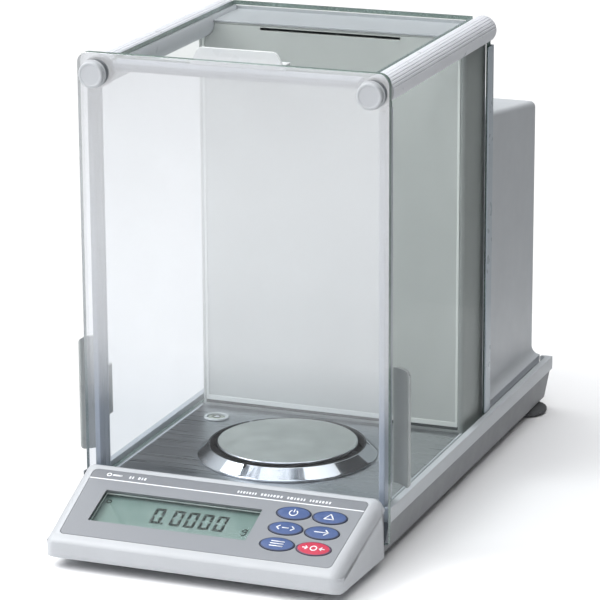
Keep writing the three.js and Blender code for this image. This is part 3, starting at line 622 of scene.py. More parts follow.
BOARD = circuit("circuit_lacquer", colour(40, 100, 66))
CLEAR_RIM = moulded("clear_rim", colour(196, 200, 200), 0.3)
VIAL = moulded("vial_liquid", colour(176, 182, 170), 0.12)


# ---- Base and deck ----------------------------------------------------------------------------------


def make_base():
    dress("base_tray", TRAY, 0.8)
    dress("deck_cover", DECK, 0.45)
    dress("underhook_cover", TRAY, 0.5)


def make_floor_plate():
    dress("floor_plate", FLOOR_STEEL, 0.25, 2)


def make_level():
    cup = Span("level_cup")
    rim = (cup.x1 - cup.x0) / 2
    wall = rim - 2.2
    profile = [
        (0, cup.z0), (rim - 1.2, cup.z0), (rim - 1.2, cup.z1 - 1.1), (rim, cup.z1 - 1.1),
        (rim, cup.z1 - 0.5), (rim - 0.3, cup.z1 - 0.1), (rim - 0.7, cup.z1), (wall + 0.4, cup.z1),
        (wall, cup.z1 - 0.4), (wall, cup.z0 + 1.4), (0, cup.z0 + 1.4),
    ]
    body = wear(turned("level_bezel", profile, (cup.x, cup.y), steps=64), CLEAR_RIM)
    place(soften(body, 0.15, 2), "frame", "housing", "level_cup")

    vial = Span("level_vial")
    radius = (vial.x1 - vial.x0) / 2
    top = vial.z1
    dome = [(0, vial.z0), (radius, vial.z0), (radius, top - 0.7), (radius * 0.8, top - 0.35), (0, top - 0.1)]
    liquid = wear(turned("level_liquid", dome, (vial.x, vial.y), steps=64), VIAL)
    ring_out, ring_in = radius * 0.5, radius * 0.4
    ring = [(ring_in, top - 0.3), (ring_out, top - 0.3), (ring_out, top - 0.02), (ring_in, top - 0.02)]
    target = wear(turned("level_target", ring, (vial.x, vial.y), steps=48), BLACK)
    bubble = [(0, top - 0.4), (ring_in * 0.85, top - 0.4), (ring_in * 0.6, top - 0.05), (0, top)]
    drop = wear(turned("level_bubble", bubble, (vial.x + 0.3, vial.y), steps=32), CLEAR_RIM)
    place(joined("level_bubble_vial", [liquid, target, drop]), "frame", "lens", "level_vial")


# ---- Tower and rear cover ------------------------------------------------------------------------------


def make_tower():
    dress("rear_tower", TOWER, 0.6)
    dress("rear_top_cap", HOUSING, 0.3)
    dress("tower_back_cover", SHELL, 0.4)
    dress("rear_wall_panel", WALL, 0.25, 2)
    make_wall_rim()


def make_wall_rim():
    """Slim bright moulding round the wall panel, deeper at the foot, with a dark strip under it that is
    painted shadow in the joint.
    """
    panel = Span("rear_wall_panel")
    width, foot, proud = 1.7, 3.2, 0.5
    front, back = panel.y0 - proud, panel.y0 + 0.3
    outer = oblong(panel.x0, panel.z0, panel.x1, panel.z1, 0.6, 4)
    inner = oblong(panel.x0 + width, panel.z0 + foot, panel.x1 - width, panel.z1 + 9, 0.4, 4)
    rim = prism("wall_panel_rim", outer, "Y", front, back)
    carve(rim, prism("opening", inner, "Y", front - 1, back + 1))
    wear(rim, WALL_RIM)
    place(soften(rim, 0.2, 2), "frame", "wall")
    # Painted shadow: a dark strip fills the joint under the wall panel.
    gap = block("wall_foot_shadow_strip", panel.x0, panel.x1, front - 0.2, back, panel.z0 - 1.9, panel.z0 - 0.1)
    place(wear(soften(gap, 0.1, 1), PAINTED_SLOT_SHADOW), "frame", "black")


COVER_FALL = 0.1313  # drop of the rear cover's top for each millimetre to the rear


def cover_section(half, top, foot, flare_half, flare_foot, flare, corner):
    """Front view of the rear cover: round shoulders and sides that flare out at the foot."""
    points = [(-flare_half, foot), (flare_half, foot), (flare_half, flare_foot)]
    points += arc(half + flare, flare_foot + flare, flare, -90, -180, 14)
    points += arc(half - corner, top - corner, corner, 0, 90, 10)
    points += arc(-half + corner, top - corner, corner, 90, 180, 10)
    points += arc(-half - flare, flare_foot + flare, flare, 0, -90, 14)
    points.append((-flare_half, flare_foot))
    return points


def make_rear_cover():
    span = Span("rear_cover")
    flare_half = span.x1
    flare = 6
    half = flare_half - flare
    wall = 2.5

    def sloped(obj):
        for vertex in obj.data.vertices:
            if vertex.co.z > span.z1 * MM / 2:
                vertex.co.z -= COVER_FALL * (vertex.co.y - span.y0 * MM)
        return obj

    outline = cover_section(half, span.z1, span.z0, flare_half, span.z0 + 5.4, flare, 4)
    shell = sloped(prism("low_rear_cover", outline, "Y", span.y0, span.y1))
    soften(shell, 2.2, 5, 60)
    settled(shell)
    inside = half - wall
    room = sloped(block("room", -inside, inside, span.y0 - 1, span.y1 - wall, 0, span.z1 - wall))
    vents = []
    for row in range(6):
        low = 150 + row * 7
        slot = oblong(-45, low, 45, low + 2.6, 1.25, 5)
        vents.append(prism("vent", slot, "Y", span.y1 - 5, span.y1 + 1))
    jack, port = Span("power_jack"), Span("data_port")
    jack_radius = (jack.x1 - jack.x0) / 2 + 0.35
    round_hole = ellipse(jack.x, jack.z, jack_radius, jack_radius)
    jack_hole = prism("jack_hole", round_hole, "Y", span.y1 - 5, span.y1 + 1)
    opening = oblong(port.x0 - 0.4, port.z0 - 0.4, port.x1 + 0.4, port.z1 + 0.4, 0.8, 4)
    port_hole = prism("port_hole", opening, "Y", span.y1 - 5, span.y1 + 1)
    carve(shell, room, jack_hole, port_hole, *vents)
    wear(shell, SHELL)
    place(soften(shell, 0.25, 2, 40), "frame", "housing", "rear_cover")


def make_sockets():
    jack = Span("power_jack")
    radius = (jack.x1 - jack.x0) / 2
    bore = 3.5
    profile = [
        (0, jack.y0), (radius, jack.y0), (radius, jack.y1 - 0.4), (radius - 0.4, jack.y1),
        (bore + 0.5, jack.y1), (bore, jack.y1 - 0.5), (bore, jack.y0 + 3), (0, jack.y0 + 3),
    ]
    barrel = wear(turned("power_socket", profile, (jack.x, jack.z), "Y", 64), BLACK)
    place(soften(barrel, 0.12, 2), "frame", "black", "power_jack")

    port = Span("data_port")
    half_mouth, low, high = 18, port.z0 + 2.2, port.z1 - 2.2
    mouth = rounded([
        (-half_mouth + 1, low, 1.6), (half_mouth - 1, low, 1.6),
        (half_mouth + 1, high, 1.6), (-half_mouth - 1, high, 1.6),
    ])
    shell = prism("shell", oblong(port.x0, port.z0, port.x1, port.z1, 0.6, 4), "Y", port.y0, port.y1)
    carve(shell, prism("mouth", mouth, "Y", port.y1 - 4, port.y1 + 2))
    wear(shell, STEEL)
    soften(shell, 0.2, 2)
    settled(shell)
    inner = [(u * 0.93, port.z + (v - port.z) * 0.84) for u, v in mouth]
    insert = wear(prism("insert", inner, "Y", port.y1 - 5, port.y1 - 1.2), BLACK)
    contacts = [insert]
    pin, pitch = ((0, -1.4), (0.45, -1.4), (0.45, -1.0), (0, -0.9)), 2.4
    for row, count in ((1.1, 13), (-1.1, 12)):
        for i in range(count):
            centre = ((i - (count - 1) / 2) * pitch, port.z + row)
            spot = turned("contact", [(r, port.y1 + depth) for r, depth in pin], centre, "Y", 12)
            contacts.append(wear(spot, STEEL))
    nuts = []
    nut = ((0, -2), (2.4, -2), (2.4, -0.1), (2.1, 0), (1.2, 0), (1.2, -1), (0, -1))
    for side in (-1, 1):
        centre = (side * (port.x1 - 3.6), port.z)
        nuts.append(wear(turned("nut", [(r, port.y1 + depth) for r, depth in nut], centre, "Y", 6), STEEL))
    place(joined("data_socket", [shell, *contacts, *nuts]), "frame", "steel", "data_port")


def make_screws():
    """Cross-head screws that hold the two rear covers."""
    cover, back = Span("rear_cover"), Span("tower_back_cover")
    rear_top = cover.z1 - COVER_FALL * (cover.y1 - cover.y0)
    spots = [(side * 72, cover.y1, z) for side in (-1, 1) for z in (rear_top - 16, cover.z0 + 22)]
    spots += [(side * 78, back.y1, z) for side in (-1, 1) for z in (back.z1 - 14, rear_top + 34)]
    head = ((0, -1.05), (1.6, -1.05), (1.6, -0.45), (2.9, -0.45), (2.9, -0.05), (2.2, 0.35), (0, 0.45))
    for number, (x, y, z) in enumerate(spots, 1):
        screw = turned("cover_screw_%d" % number, [(r, y + depth) for r, depth in head], (x, z), "Y", 40)
        arms = []
        for u, v in ((1.5, 0.28), (0.28, 1.5)):
            arms.append(prism("slot", oblong(x - u, z - v, x + u, z + v, 0.1, 2), "Y", y - 0.6, y + 2))
        carve(screw, *arms)
        wear(screw, STEEL)
        place(screw, "frame", "steel")


# ---- Glass frame ------------------------------------------------------------------------------------


def make_front_glass():
    span = Span("front_glass")
    corner = 7
    outline = rounded([
        (span.x0, span.z0, 1), (span.x1, span.z0, 1), (span.x1, span.z1, corner), (span.x0, span.z1, corner),
    ], 10)
    sheet = prism("front_pane_glass", outline, "Y", span.y0, span.y1)
    edged(sheet, FRONT_PANE, GREEN_EDGE, "Y")
    place(soften(sheet, 0.3, 2), "frame", "glass", "front_glass")


def rail_outline(x, z, radius):
    """Round section with narrow grooves over its outer upper half."""
    first, last, count = 12, 120, 9
    groove_half, groove_depth = 2.4, 0.6
    points = []
    steps = 240
    for i in range(steps):
        turn = 360 * i / steps
        nearest = min(abs(turn - (first + (last - first) * k / (count - 1))) for k in range(count))
        inward = groove_depth * max(0.0, 1 - nearest / groove_half) ** 0.7
        t = math.radians(turn)
        points.append((x + (radius - inward) * math.cos(t), z + (radius - inward) * math.sin(t)))
    return points


def door_rooms(front, rear):
    """Room for the doors that a right-hand rail guides: the top door's edge and the side door's."""
    top, door = Span("top_door_glass"), Span("right_door_glass")
    seat = block("seat", 70, top.x1 + 0.4, front, rear, top.z0 - 0.3, top.z1 + 20)
    slot = block("slot", door.x0 - 0.3, door.x1 + 0.3, front, rear, door.z1 - 20, door.z1 + 0.7)
    return seat, slot


def make_rails():
    for name, side in SIDES:
        rail = Span("top_rail_right")
        radius = 9
        x = rail.x1 - radius
        z = rail.z0 + radius
        rod = prism("ribbed_rail_" + name, rail_outline(x, z, radius), "Y", rail.y0, rail.y1)
        carve(rod, *door_rooms(rail.y0 - 1, rail.y1 + 1))
        wear(mirrored(rod, side), RAIL)
        place(soften(rod, 0.12, 2, 50), "frame", "rail", "top_rail_" + name)

        cap = Span("rail_cap_rear_right")
        end = cap.y1
        disc = [
            (0, cap.y0), (radius - 0.6, cap.y0), (radius - 0.6, end - 1.1), (radius - 0.9, end - 0.6),
            (radius - 1.7, end), (0, end),
        ]
        plug = turned("rail_plug_" + name, disc, (x, z), "Y", 72)
        carve(plug, *door_rooms(cap.y0 - 1, end + 1))
        wear(mirrored(plug, side), HOUSING)
        place(soften(plug, 0.12, 2, 50), "frame", "housing", "rail_cap_rear_" + name)


def make_collars_and_caps():
    for name, _ in SIDES:
        collar = Span("corner_collar_" + name)
        radius = (collar.x1 - collar.x0) / 2
        front, rear = collar.y0, collar.y1
        profile = [
            (0, front), (radius - 1.2, front), (radius - 0.4, front + 0.3), (radius, front + 1),
            (radius, rear - 1.9), (radius - 0.35, rear - 1.6), (radius - 0.35, rear - 1.2),
            (radius, rear - 0.9), (radius - 0.3, rear - 0.2), (radius - 0.8, rear), (0, rear),
        ]
        ring = wear(turned("rail_collar_" + name, profile, (collar.x, collar.z), "Y"), HOUSING)
        place(soften(ring, 0.12, 2), "frame", "housing", "corner_collar_" + name)

        cap = Span("rail_cap_front_" + name)
        glass = Span("front_glass")
        seat = glass.y0 - 0.3
        face = 8.1
        flange = (cap.x1 - cap.x0) / 2
        front = cap.y0
        profile = [
            (0, front + 0.25), (face - 2.0, front + 0.25), (face - 1.6, front), (face - 1.0, front),
            (face - 0.3, front + 0.25), (face, front + 0.9), (face, seat - 2.2),
            (face - 0.7, seat - 1.9), (face - 0.7, seat - 1.3),
            (flange - 0.3, seat - 1.1), (flange, seat - 0.8), (flange, seat), (0, seat),
        ]
        knob = wear(turned("glass_screw_cap_" + name, profile, (cap.x, cap.z), "Y"), HOUSING)
        place(soften(knob, 0.1, 2), "frame", "housing", "rail_cap_front_" + name)


def make_posts():
    for name, side in SIDES:
        post = Span("front_post_right")
        ridges = []
        for ridge in (post.y1 - 2.4, post.y1 - 8.4, post.y0 + 2.6):
            ridges += [(post.x0, ridge + 0.5, 0), (post.x0 + 0.5, ridge + 0.25, 0)]
            ridges += [(post.x0 + 0.5, ridge - 0.25, 0), (post.x0, ridge - 0.5, 0)]
        outline = rounded([
            (post.x0, post.y1, 0.4), *ridges, (post.x0, post.y0 + 1.2, 0.4), (post.x0 + 0.9, post.y0, 0.4),
            (post.x1 - 0.6, post.y0, 0.4), (post.x1, post.y0 + 0.6, 0.3), (post.x1, post.y1, 0.4),
        ], 5)
        column = prism("door_post_" + name, outline, "Z", post.z0, post.z1)
        middle, half = post.x + 0.4, 0.9
        groove = block("groove", middle - half, middle + half, post.y1 - 1.6, post.y1 + 1, 0, 400)
        carve(column, groove)
        wear(mirrored(column, side), POST)
        place(soften(column, 0.15, 2), "frame", "rail", "front_post_" + name)


def make_cross_bar():
    bar = Span("front_cross_bar")
    outline = rounded([
        (bar.y0, bar.z0, 0.5), (bar.y1, bar.z0, 0.5), (bar.y1, bar.z1 - 2.6, 0.8),
        (bar.y1 - 1.6, bar.z1, 0.8), (bar.y0 + 5.2, bar.z1, 1.2),
        (bar.y0 + 1.2, bar.z1 - 1.6, 1.2), (bar.y0, bar.z1 - 3.4, 0.8),
    ], 6)
    beam = wear(prism("top_cross_bar", outline, "X", bar.x0, bar.x1), POST)
    place(soften(beam, 0.3), "frame", "rail", "front_cross_bar")


# ---- Doors -------------------------------------------------------------------------------------------


def make_side_doors():
    for name, side in SIDES:
        body = name + "_door"
        glass = Span("right_door_glass")
        outline = rounded([
            (glass.y0, glass.z0, 1.2), (glass.y1, glass.z0, 0.6),
            (glass.y1, glass.z1, 0.6), (glass.y0, glass.z1, 1.2),
        ], 6)
        sheet = prism(name + "_sliding_pane", outline, "X", glass.x0, glass.x1)
        edged(mirrored(sheet, side), DOOR_PANE, GREEN_EDGE, "X")
        place(soften(sheet, 0.25, 2), body, "glass", body + "_glass")

        trim = Span("right_door_trim")
        web, leaf = 3.2, glass.x1 + 0.3
        outline = rounded([
            (trim.x0, trim.y1 - web, 0.2), (leaf, trim.y1 - web, 0), (leaf, trim.y0, 0.2),
            (trim.x1, trim.y0 + 0.3, 0.3), (trim.x1, trim.y1, 0.5), (trim.x0, trim.y1, 0.5),
        ], 5)
        strip = prism(name + "_door_edge", outline, "Z", trim.z0, trim.z1)
        wear(mirrored(strip, side), TRIM)
        place(soften(strip, 0.2, 2), body, "handle", body + "_trim")

        make_handle(name, side, body)


def make_handle(name, side, body):
    """Thin blade that leaves the glass and curves out to the front, with round outer corners."""
    grip = Span("right_door_handle")
    start, tip = grip.x0, grip.x1
    thick = 1.8
    hold = grip.y1 - 5
    outline = [(start, grip.y1), (start, hold - 5)]
    outline += bezier((start, hold - 5), (start + 6.6, hold - 5.6), (tip - thick, grip.y0 + 0.3), 14)
    outline += arc(tip - thick / 2, grip.y0 + 0.9, thick / 2, 200, 380, 6)
    outline += bezier((tip, grip.y0 + 0.6), (start + 8.8, hold - 3.4), (start + thick, hold - 2.4), 14)
    outline.append((start + thick, grip.y1))
    blade = prism(name + "_finger_grip", outline, "Z", grip.z0, grip.z1)
    root = start - 20
    face = rounded([(root, grip.z0, 0), (tip, grip.z0, 4), (tip, grip.z1, 4), (root, grip.z1, 0)], 10)
    carve(blade, prism("face", face, "Y", grip.y0 - 10, grip.y1 + 10), operation="INTERSECT")
    middle, reach = grip.z, 16
    above = block("above", start - 1, start + 2.5, hold - 4, grip.y1 + 1, middle + reach, grip.z1 + 5)
    below = block("below", start - 1, start + 2.5, hold - 4, grip.y1 + 1, grip.z0 - 5, middle - reach)
    carve(blade, above, below)
    wear(mirrored(blade, side), GRIP)
    place(soften(blade, 0.35, 3, 40), body, "handle", body + "_handle")


def make_top_door():
    glass = Span("top_door_glass")
    outline = oblong(glass.x0, glass.y0, glass.x1, glass.y1, 1.5)
    sheet = prism("top_sliding_pane", outline, "Z", glass.z0, glass.z1)
    edged(sheet, TOP_PANE, GREEN_EDGE, "Z")
    place(soften(sheet, 0.25, 2), "top_door", "glass", "top_door_glass")

    tab = Span("top_door_tab")
    base_half, top_half = tab.x1, 25
    thick = 1.8
    foot_low = glass.z1 + 0.3
    outline = rounded([
        (-base_half, tab.z0, 0.3), (base_half, tab.z0, 0.3),
        (top_half, tab.z1, 4.5), (-top_half, tab.z1, 4.5),
    ], 10)
    blade = prism("blade", outline, "Y", tab.y0, tab.y0 + thick)
    edged(blade, TAB_PANE, TAB_EDGE, "Y")
    foot = block("foot", -base_half + 2, base_half - 2, tab.y0 + thick, tab.y1, foot_low, foot_low + 1.7)
    edged(foot, TAB_PANE, TAB_EDGE, "Z")
    both = joined("top_door_pull", [soften_now(blade, 0.35), soften_now(foot, 0.3)])
    place(both, "top_door", "acrylic", "top_door_tab")


def soften_now(obj, width):
    return settled(soften(obj, width, 2))


# ---- Console -----------------------------------------------------------------------------------------

SLOPE = math.radians(20)
FACE_Y, FACE_Z = -149.2, 40.2
FACE = Matrix.Translation((0, FACE_Y * MM, FACE_Z * MM)) @ Matrix.Rotation(SLOPE, 4, "X")
KEY_HALF_X, KEY_HALF_Y = 11, 6
KEY_CLEAR = 0.35
FILM_HALF, FILM_NEAR, FILM_FAR = 90.4, -54.2, 8.6
WINDOW = (-74.6, 28.3, -39.4, -9.8)  # left, right, near, far
LCD_DEPTH = 5.2


def on_face(obj):
    """A piece drawn in the sloping face's own axes, X across, Y up the slope and Z out, put in place."""
    obj.data.transform(FACE)
    return obj


def face_point(node):
    """Centre of a node in the sloping face's own axes, in millimetres."""
    low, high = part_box(node)
    middle = FACE.inverted() @ ((low + high) / 2)
    return middle.x / MM, middle.y / MM


KEYS = ("power", "range", "mode", "cal", "print", "zero")
KEY_PLACES = {key: face_point(key + "_key") for key in KEYS}


def key_outline(key, grow):
    x, y = KEY_PLACES[key]
    return ellipse(x, y, KEY_HALF_X + grow, KEY_HALF_Y + grow, 72)


def console_profile(inset):
    """Side view of the console: rear wall, soft lip, sloping face, full nose and underside."""
    span = Span("console_housing")
    front, rear, bottom = span.y0 + inset, span.y1 - inset, span.z0 + inset

    def slope_at(y):
        return FACE_Z + (y - FACE_Y) * math.tan(SLOPE) - inset / math.cos(SLOPE)

    lip = rear - 4.6
    nose = span.y0 + 8.5
    points = [(rear, bottom), (rear, slope_at(lip) - 3.6)]
    points += bezier(points[-1], (rear, slope_at(lip)), (lip, slope_at(lip)), 12)
    points += [(lip + (nose - lip) * k / 12, slope_at(lip + (nose - lip) * k / 12)) for k in range(1, 13)]
    points += bezier(points[-1], (front + 0.9, slope_at(front + 1.8)), (front, 17), 16)
    points += [(front, 14), (front, 11)]
    points += bezier(points[-1], (front + 0.2, bottom), (front + 4.5, bottom), 12)
    return points


def console_solid(name, inset, side_round):
    """The profile run across the console, with its long edges rounded into flat ends."""
    profile = console_profile(inset)
    span = Span("console_housing")
    count = len(profile)
    steps = 10
    nose_taper = 3.0
    foot_band, foot_rise = 5, 0.12

    def inward(i):
        before, after = Vector(profile[i - 1]), Vector(profile[(i + 1) % count])
        along = (after - before).normalized()
        return Vector((-along.y, along.x))

    def half_at(y):
        """Half the width, narrower towards the nose."""
        along = (y - span.y0) / (span.y1 - span.y0)
        return span.x1 - inset - nose_taper * (1 - along)

    rows = []
    for k in range(-steps, steps + 1):
        turn = abs(k) / steps * math.pi / 2
        row = []
        for i, (y, z) in enumerate(profile):
            normal = inward(i)
            drop = side_round * (1 - math.cos(turn))
            low_part = z < profile[0][1] + foot_band
            rise = foot_rise if low_part else 1.0
            inner_y = y + normal.x * drop
            if low_part:
                inner_y = max(inner_y, span.y0 + inset + drop)
            row.append((inner_y, z + normal.y * drop * rise, math.sin(turn)))
        rows.append((k, row))
    points, faces = [], []
    for k, row in rows:
        side = -1 if k < 0 else 1
        for y, z, reach in row:
            half = half_at(y) - side_round + side_round * reach
            points.append((side * half, y, z))
    for r in range(len(rows) - 1):
        for i in range(count):
            j = (i + 1) % count
            faces.append((r * count + i, r * count + j, (r + 1) * count + j, (r + 1) * count + i))
    faces.append(tuple(range(count)))
    faces.append(tuple(range((len(rows) - 1) * count, len(rows) * count)))
    return mesh_object(name, points, faces)


def film_outline(grow):
    half, near, far = FILM_HALF + grow, FILM_NEAR - grow, FILM_FAR + grow
    taper, corner = 3, 3.4
    return rounded([
        (-half + taper, near, corner), (half - taper, near, corner),
        (half, far, corner), (-half, far, corner),
    ])


def make_console():
    shell = console_solid("console_shell", 0, 7.5)
    room = console_solid("room", 2.6, 5.5)
    span = Span("console_housing")
    recess = on_face(prism("recess", film_outline(0.3), "Z", -1.3, 6))
    left, right, near, far = WINDOW
    window = on_face(prism("window", oblong(left - 1, near - 1, right + 1, far + 1, 1.2), "Z", -12, 6))
    wells = [on_face(prism("well", key_outline(key, KEY_CLEAR), "Z", -12, 6)) for key in KEYS]
    mouth = block("mouth", -87, 87, span.y0 + 11, span.y1 + 1, 0, 9.3)
    carve(shell, room)
    carve(shell, recess)
    carve(shell, window, mouth, *wells)
    wear(shell, HOUSING)
    place(soften(shell, 0.25, 2, 45), "frame", "housing", "console_housing")


def make_film():
    """Printed overlay: a band above a thin white line, and the film with its window and key holes."""
    film = prism("console_overlay", film_outline(0), "Z", -1, 0)
    left, right, near, far = WINDOW
    window = prism("window", oblong(left, near, right, far, 0.6), "Z", -5, 5)
    holes = [prism("hole", key_outline(key, KEY_CLEAR), "Z", -5, 5) for key in KEYS]
    carve(film, window, *holes)
    line = 0.4
    coated(film, lambda polygon: 0, FILM, FILM_BAND, WHITE_INK)
    work = bmesh.new()
    work.from_mesh(film.data)
    for height in (-line, line):
        everything = work.verts[:] + work.edges[:] + work.faces[:]
        bmesh.ops.bisect_plane(work, geom=everything, plane_co=(0, height * MM, 0), plane_no=(0, 1, 0))
    work.normal_update()
    for face in work.faces:
        y = face.calc_center_median().y / MM
        face.material_index = 2 if abs(y) < line and face.normal.z > 0.5 else (1 if y > 0 else 0)
    work.to_mesh(film.data)
    work.free()
    on_face(film)
    place(soften(film, 0.15, 2, 50), "frame", "panel", "console_panel")
    make_band_marks()


def make_band_marks():
    """Rows of small printed blocks on the band, in place of words."""
    low, high = -0.1, 0.03
    dice = random.Random(7)
    marks = [ring_mark(-78.6, 4.6, 1.3, 0.8, low, high), bar_mark(-75.6, 4.6, -70.4, 4.6, 1.5, low, high)]
    rows = ((-65, 4.2, 2.4, (2, 3)), (7, 3.6, 2.2, (7, 7, 6, 7)))
    for u, v, tall, words in rows:
        for blocks in words:
            for _ in range(blocks):
                wide = dice.uniform(0.9, 1.7)
                outline = oblong(u, v - tall / 2, u + wide, v + tall / 2, 0.3, 3)
                marks.append(prism("block", outline, "Z", low, high))
                u += wide + 0.8
            u += 2.2
    whole = joined("band_marks", [wear(mark, WHITE_INK) for mark in marks])
    place(on_face(whole), "frame", "panel")


def bar_mark(u0, v0, u1, v1, width, low, high):
    """A straight stroke with round ends."""
    along = Vector((u1 - u0, v1 - v0))
    turn = math.degrees(math.atan2(along.y, along.x))
    points = arc(u1, v1, width / 2, turn - 90, turn + 90, 6)
    points += arc(u0, v0, width / 2, turn + 90, turn + 270, 6)
    return prism("stroke", points, "Z", low, high)


def ring_mark(u, v, radius, width, low, high, start=0, end=360):
    """A ring, or an arc of one."""
    steps = 32
    inside, outside = radius - width / 2, radius + width / 2
    if end - start < 360:
        outline = arc(u, v, outside, start, end, steps) + arc(u, v, inside, end, start, steps)
        return prism("stroke", outline, "Z", low, high)
    profile = [(inside, low), (outside, low), (outside, high), (inside, high)]
    return turned("stroke", profile, (u, v), steps=steps)


def key_marks(key, u, v, low, high):
    """Plain symbols in place of words."""
    wide = 0.75

    def stroke(u0, v0, u1, v1):
        return bar_mark(u + u0, v + v0, u + u1, v + v1, wide, low, high)

    if key == "power":
        return [ring_mark(u, v - 0.2, 2.5, wide, low, high, 125, 415), stroke(0, 0.6, 0, 3.0)]
    if key == "range":
        marks = [stroke(side * 3.8, rise, side * 5.6, 0) for rise in (1.7, -1.7) for side in (-1, 1)]
        return marks + [stroke(-1.9, 0, 1.9, 0)]
    if key == "mode":
        return [stroke(-4, height, 4, height) for height in (-2.1, 0, 2.1)]
    if key == "cal":
        return [stroke(-3.1, -2.0, 3.1, -2.0), stroke(-3.1, -2.0, 0, 2.6), stroke(3.1, -2.0, 0, 2.6)]
    if key == "print":
        return [stroke(-4.6, 0, 4.2, 0), stroke(1.9, 2.2, 4.2, 0), stroke(1.9, -2.2, 4.2, 0)]
    marks = [ring_mark(u, v, 1.9, wide, low, high)]
    for side in (-1, 1):
        marks += [stroke(side * 3.8, 0, side * 6.8, 0)]
        marks += [stroke(side * 3.8, 0, side * 5.0, rise) for rise in (1.2, -1.2)]
    return marks


def make_key(key):
    """Oval cap with a coloured rim, a shallow dome and a printed symbol."""
    u, v = KEY_PLACES[key]
    low, top = -2.5, 0.7
    body, rim = (RED, RED_RIM) if key == "zero" else (BLUE, BLUE_RIM)
    rings = [
        (1.0, low), (1.0, 0.1), (0.985, 0.3), (0.95, 0.42),
        (0.925, 0.44), (0.9, 0.5), (0.6, 0.62), (0.3, 0.68),
    ]
    steps = 72
    points, faces = [(u, v, low)], []
    for share, height in rings:
        outline = ellipse(u, v, share * KEY_HALF_X, share * KEY_HALF_Y, steps)
        points += [(x, y, height) for x, y in outline]
    points.append((u, v, top))
    for i in range(steps):
        j = (i + 1) % steps
        faces.append((0, 1 + j, 1 + i))
        for r in range(len(rings) - 1):
            first, second = 1 + r * steps, 1 + (r + 1) * steps
            faces.append((first + i, first + j, second + j, second + i))
        last = 1 + (len(rings) - 1) * steps
        faces.append((last + i, last + j, len(points) - 1))
    cap = mesh_object("cap", points, faces)

    def on_rim(polygon):
        across = (polygon.center.x / MM - u) / KEY_HALF_X
        along = (polygon.center.y / MM - v) / KEY_HALF_Y
        return int(math.hypot(across, along) > 0.9)

    coated(cap, on_rim, body, rim)
    marks = [wear(mark, WHITE_INK) for mark in key_marks(key, u, v, top - 0.3, top + 0.02)]
    whole = on_face(joined(key + "_key_cap", [cap, *marks]))
    place(whole, key + "_button", "key_red" if key == "zero" else "key_blue", key + "_key")


def seven_segment_zero(u, v, wide, tall, thick, low, high):
    """The six outer bars of a seven-segment digit, pointed where they meet."""
    gap = 0.14
    half = tall / 2
    right = u + wide
    bars = []
    for height, sign in ((v + tall, -1), (v, 1)):
        inner = height + sign * thick
        bars.append([
            (u + gap, height), (right - gap, height), (right - thick - gap, inner), (u + thick + gap, inner),
        ])
    for left, sign in ((u, 1), (right, -1)):
        inner = left + sign * thick
        for base in (v, v + half):
            foot = thick if base == v else thick / 2
            head = thick if base != v else thick / 2
            low_end, high_end = base + gap, base + half - gap
            bars.append([
                (left, low_end), (inner, low_end + foot), (inner, high_end - head), (left, high_end),
            ])
    return [prism("segment", points, "Z", low, high) for points in bars]


def make_display():
    """Glass window over a recessed display that reads zero."""
    left, right, near, far = WINDOW
    inside = oblong(left + 0.3, near + 0.3, right - 0.3, far - 0.3, 0.6)
    lens = prism("window_pane", inside, "Z", -3, -1.8)
    edged(lens, LENS_PANE, TAB_EDGE, "Z")
    place(on_face(soften_now(lens, 0.15)), "frame", "lens", "display_window")

    plate = oblong(left - 4, near - 4, right + 4, far + 4, 1)
    module = wear(prism("plate", plate, "Z", -10.5, -LCD_DEPTH), LCD)
    soften_now(module, 0.3)
    low, high = -LCD_DEPTH - 0.05, -LCD_DEPTH + 0.04
    digit_wide, digit_tall, pitch, foot = 7.0, 14.4, 9.5, near + 10.2
    starts = [-39.6] + [-27 + pitch * i for i in range(4)]
    pieces = []
    for u in starts:
        pieces += seven_segment_zero(u, foot, digit_wide, digit_tall, 2.0, low, high)
    point_u = starts[0] + digit_wide + 0.5
    point = oblong(point_u, foot - 0.2, point_u + 1.5, foot + 1.7, 0.3, 3)
    pieces.append(prism("point", point, "Z", low, high))
    pieces.append(ring_mark(left + 2.8, far - 4.6, 1.4, 0.9, low, high))
    unit_u, unit_v = right - 6.4, near + 12.6
    pieces.append(ring_mark(unit_u, unit_v + 1.3, 1.3, 0.9, low, high))
    pieces.append(bar_mark(unit_u + 1.3, unit_v + 2.4, unit_u + 1.3, unit_v - 1.5, 0.9, low, high))
    pieces.append(ring_mark(unit_u, unit_v - 1.5, 1.3, 0.9, low, high, 200, 360))
    for piece in pieces:
        wear(piece, LCD_INK)
    place(on_face(joined("display_module", [module, *pieces])), "frame", "lcd", "lcd_module")


# ---- Pan and draft ring -------------------------------------------------------------------------------


def make_pan():
    pan = Span("weighing_pan")
    radius = (pan.x1 - pan.x0) / 2
    top, low = pan.z1, pan.z0
    profile = [
        (0, top - 1), (radius - 2.2, top - 1), (radius - 1.5, low + 0.3), (radius - 1.1, low),
        (radius - 0.5, low), (radius - 0.1, low + 0.3), (radius, low + 0.8), (radius, top - 0.9),
        (radius - 0.12, top - 0.45), (radius - 0.45, top - 0.12), (radius - 0.9, top),
        (radius - 1.6, top - 0.02), (0, top),
    ]
    dish = turned("weighing_plate", profile, (pan.x, pan.y), steps=144)

    def on_rim(polygon):
        return int(math.hypot(polygon.center.x / MM - pan.x, polygon.center.y / MM - pan.y) > radius - 0.95)

    coated(dish, on_rim, PAN_STEEL, CHROME)
    shade = dish.modifiers.new("shade", "WEIGHTED_NORMAL")
    shade.keep_sharp = True
    place(dish, "pan", "stainless", "weighing_pan")
    dress("pan_support", STEEL, 0.3, 2)


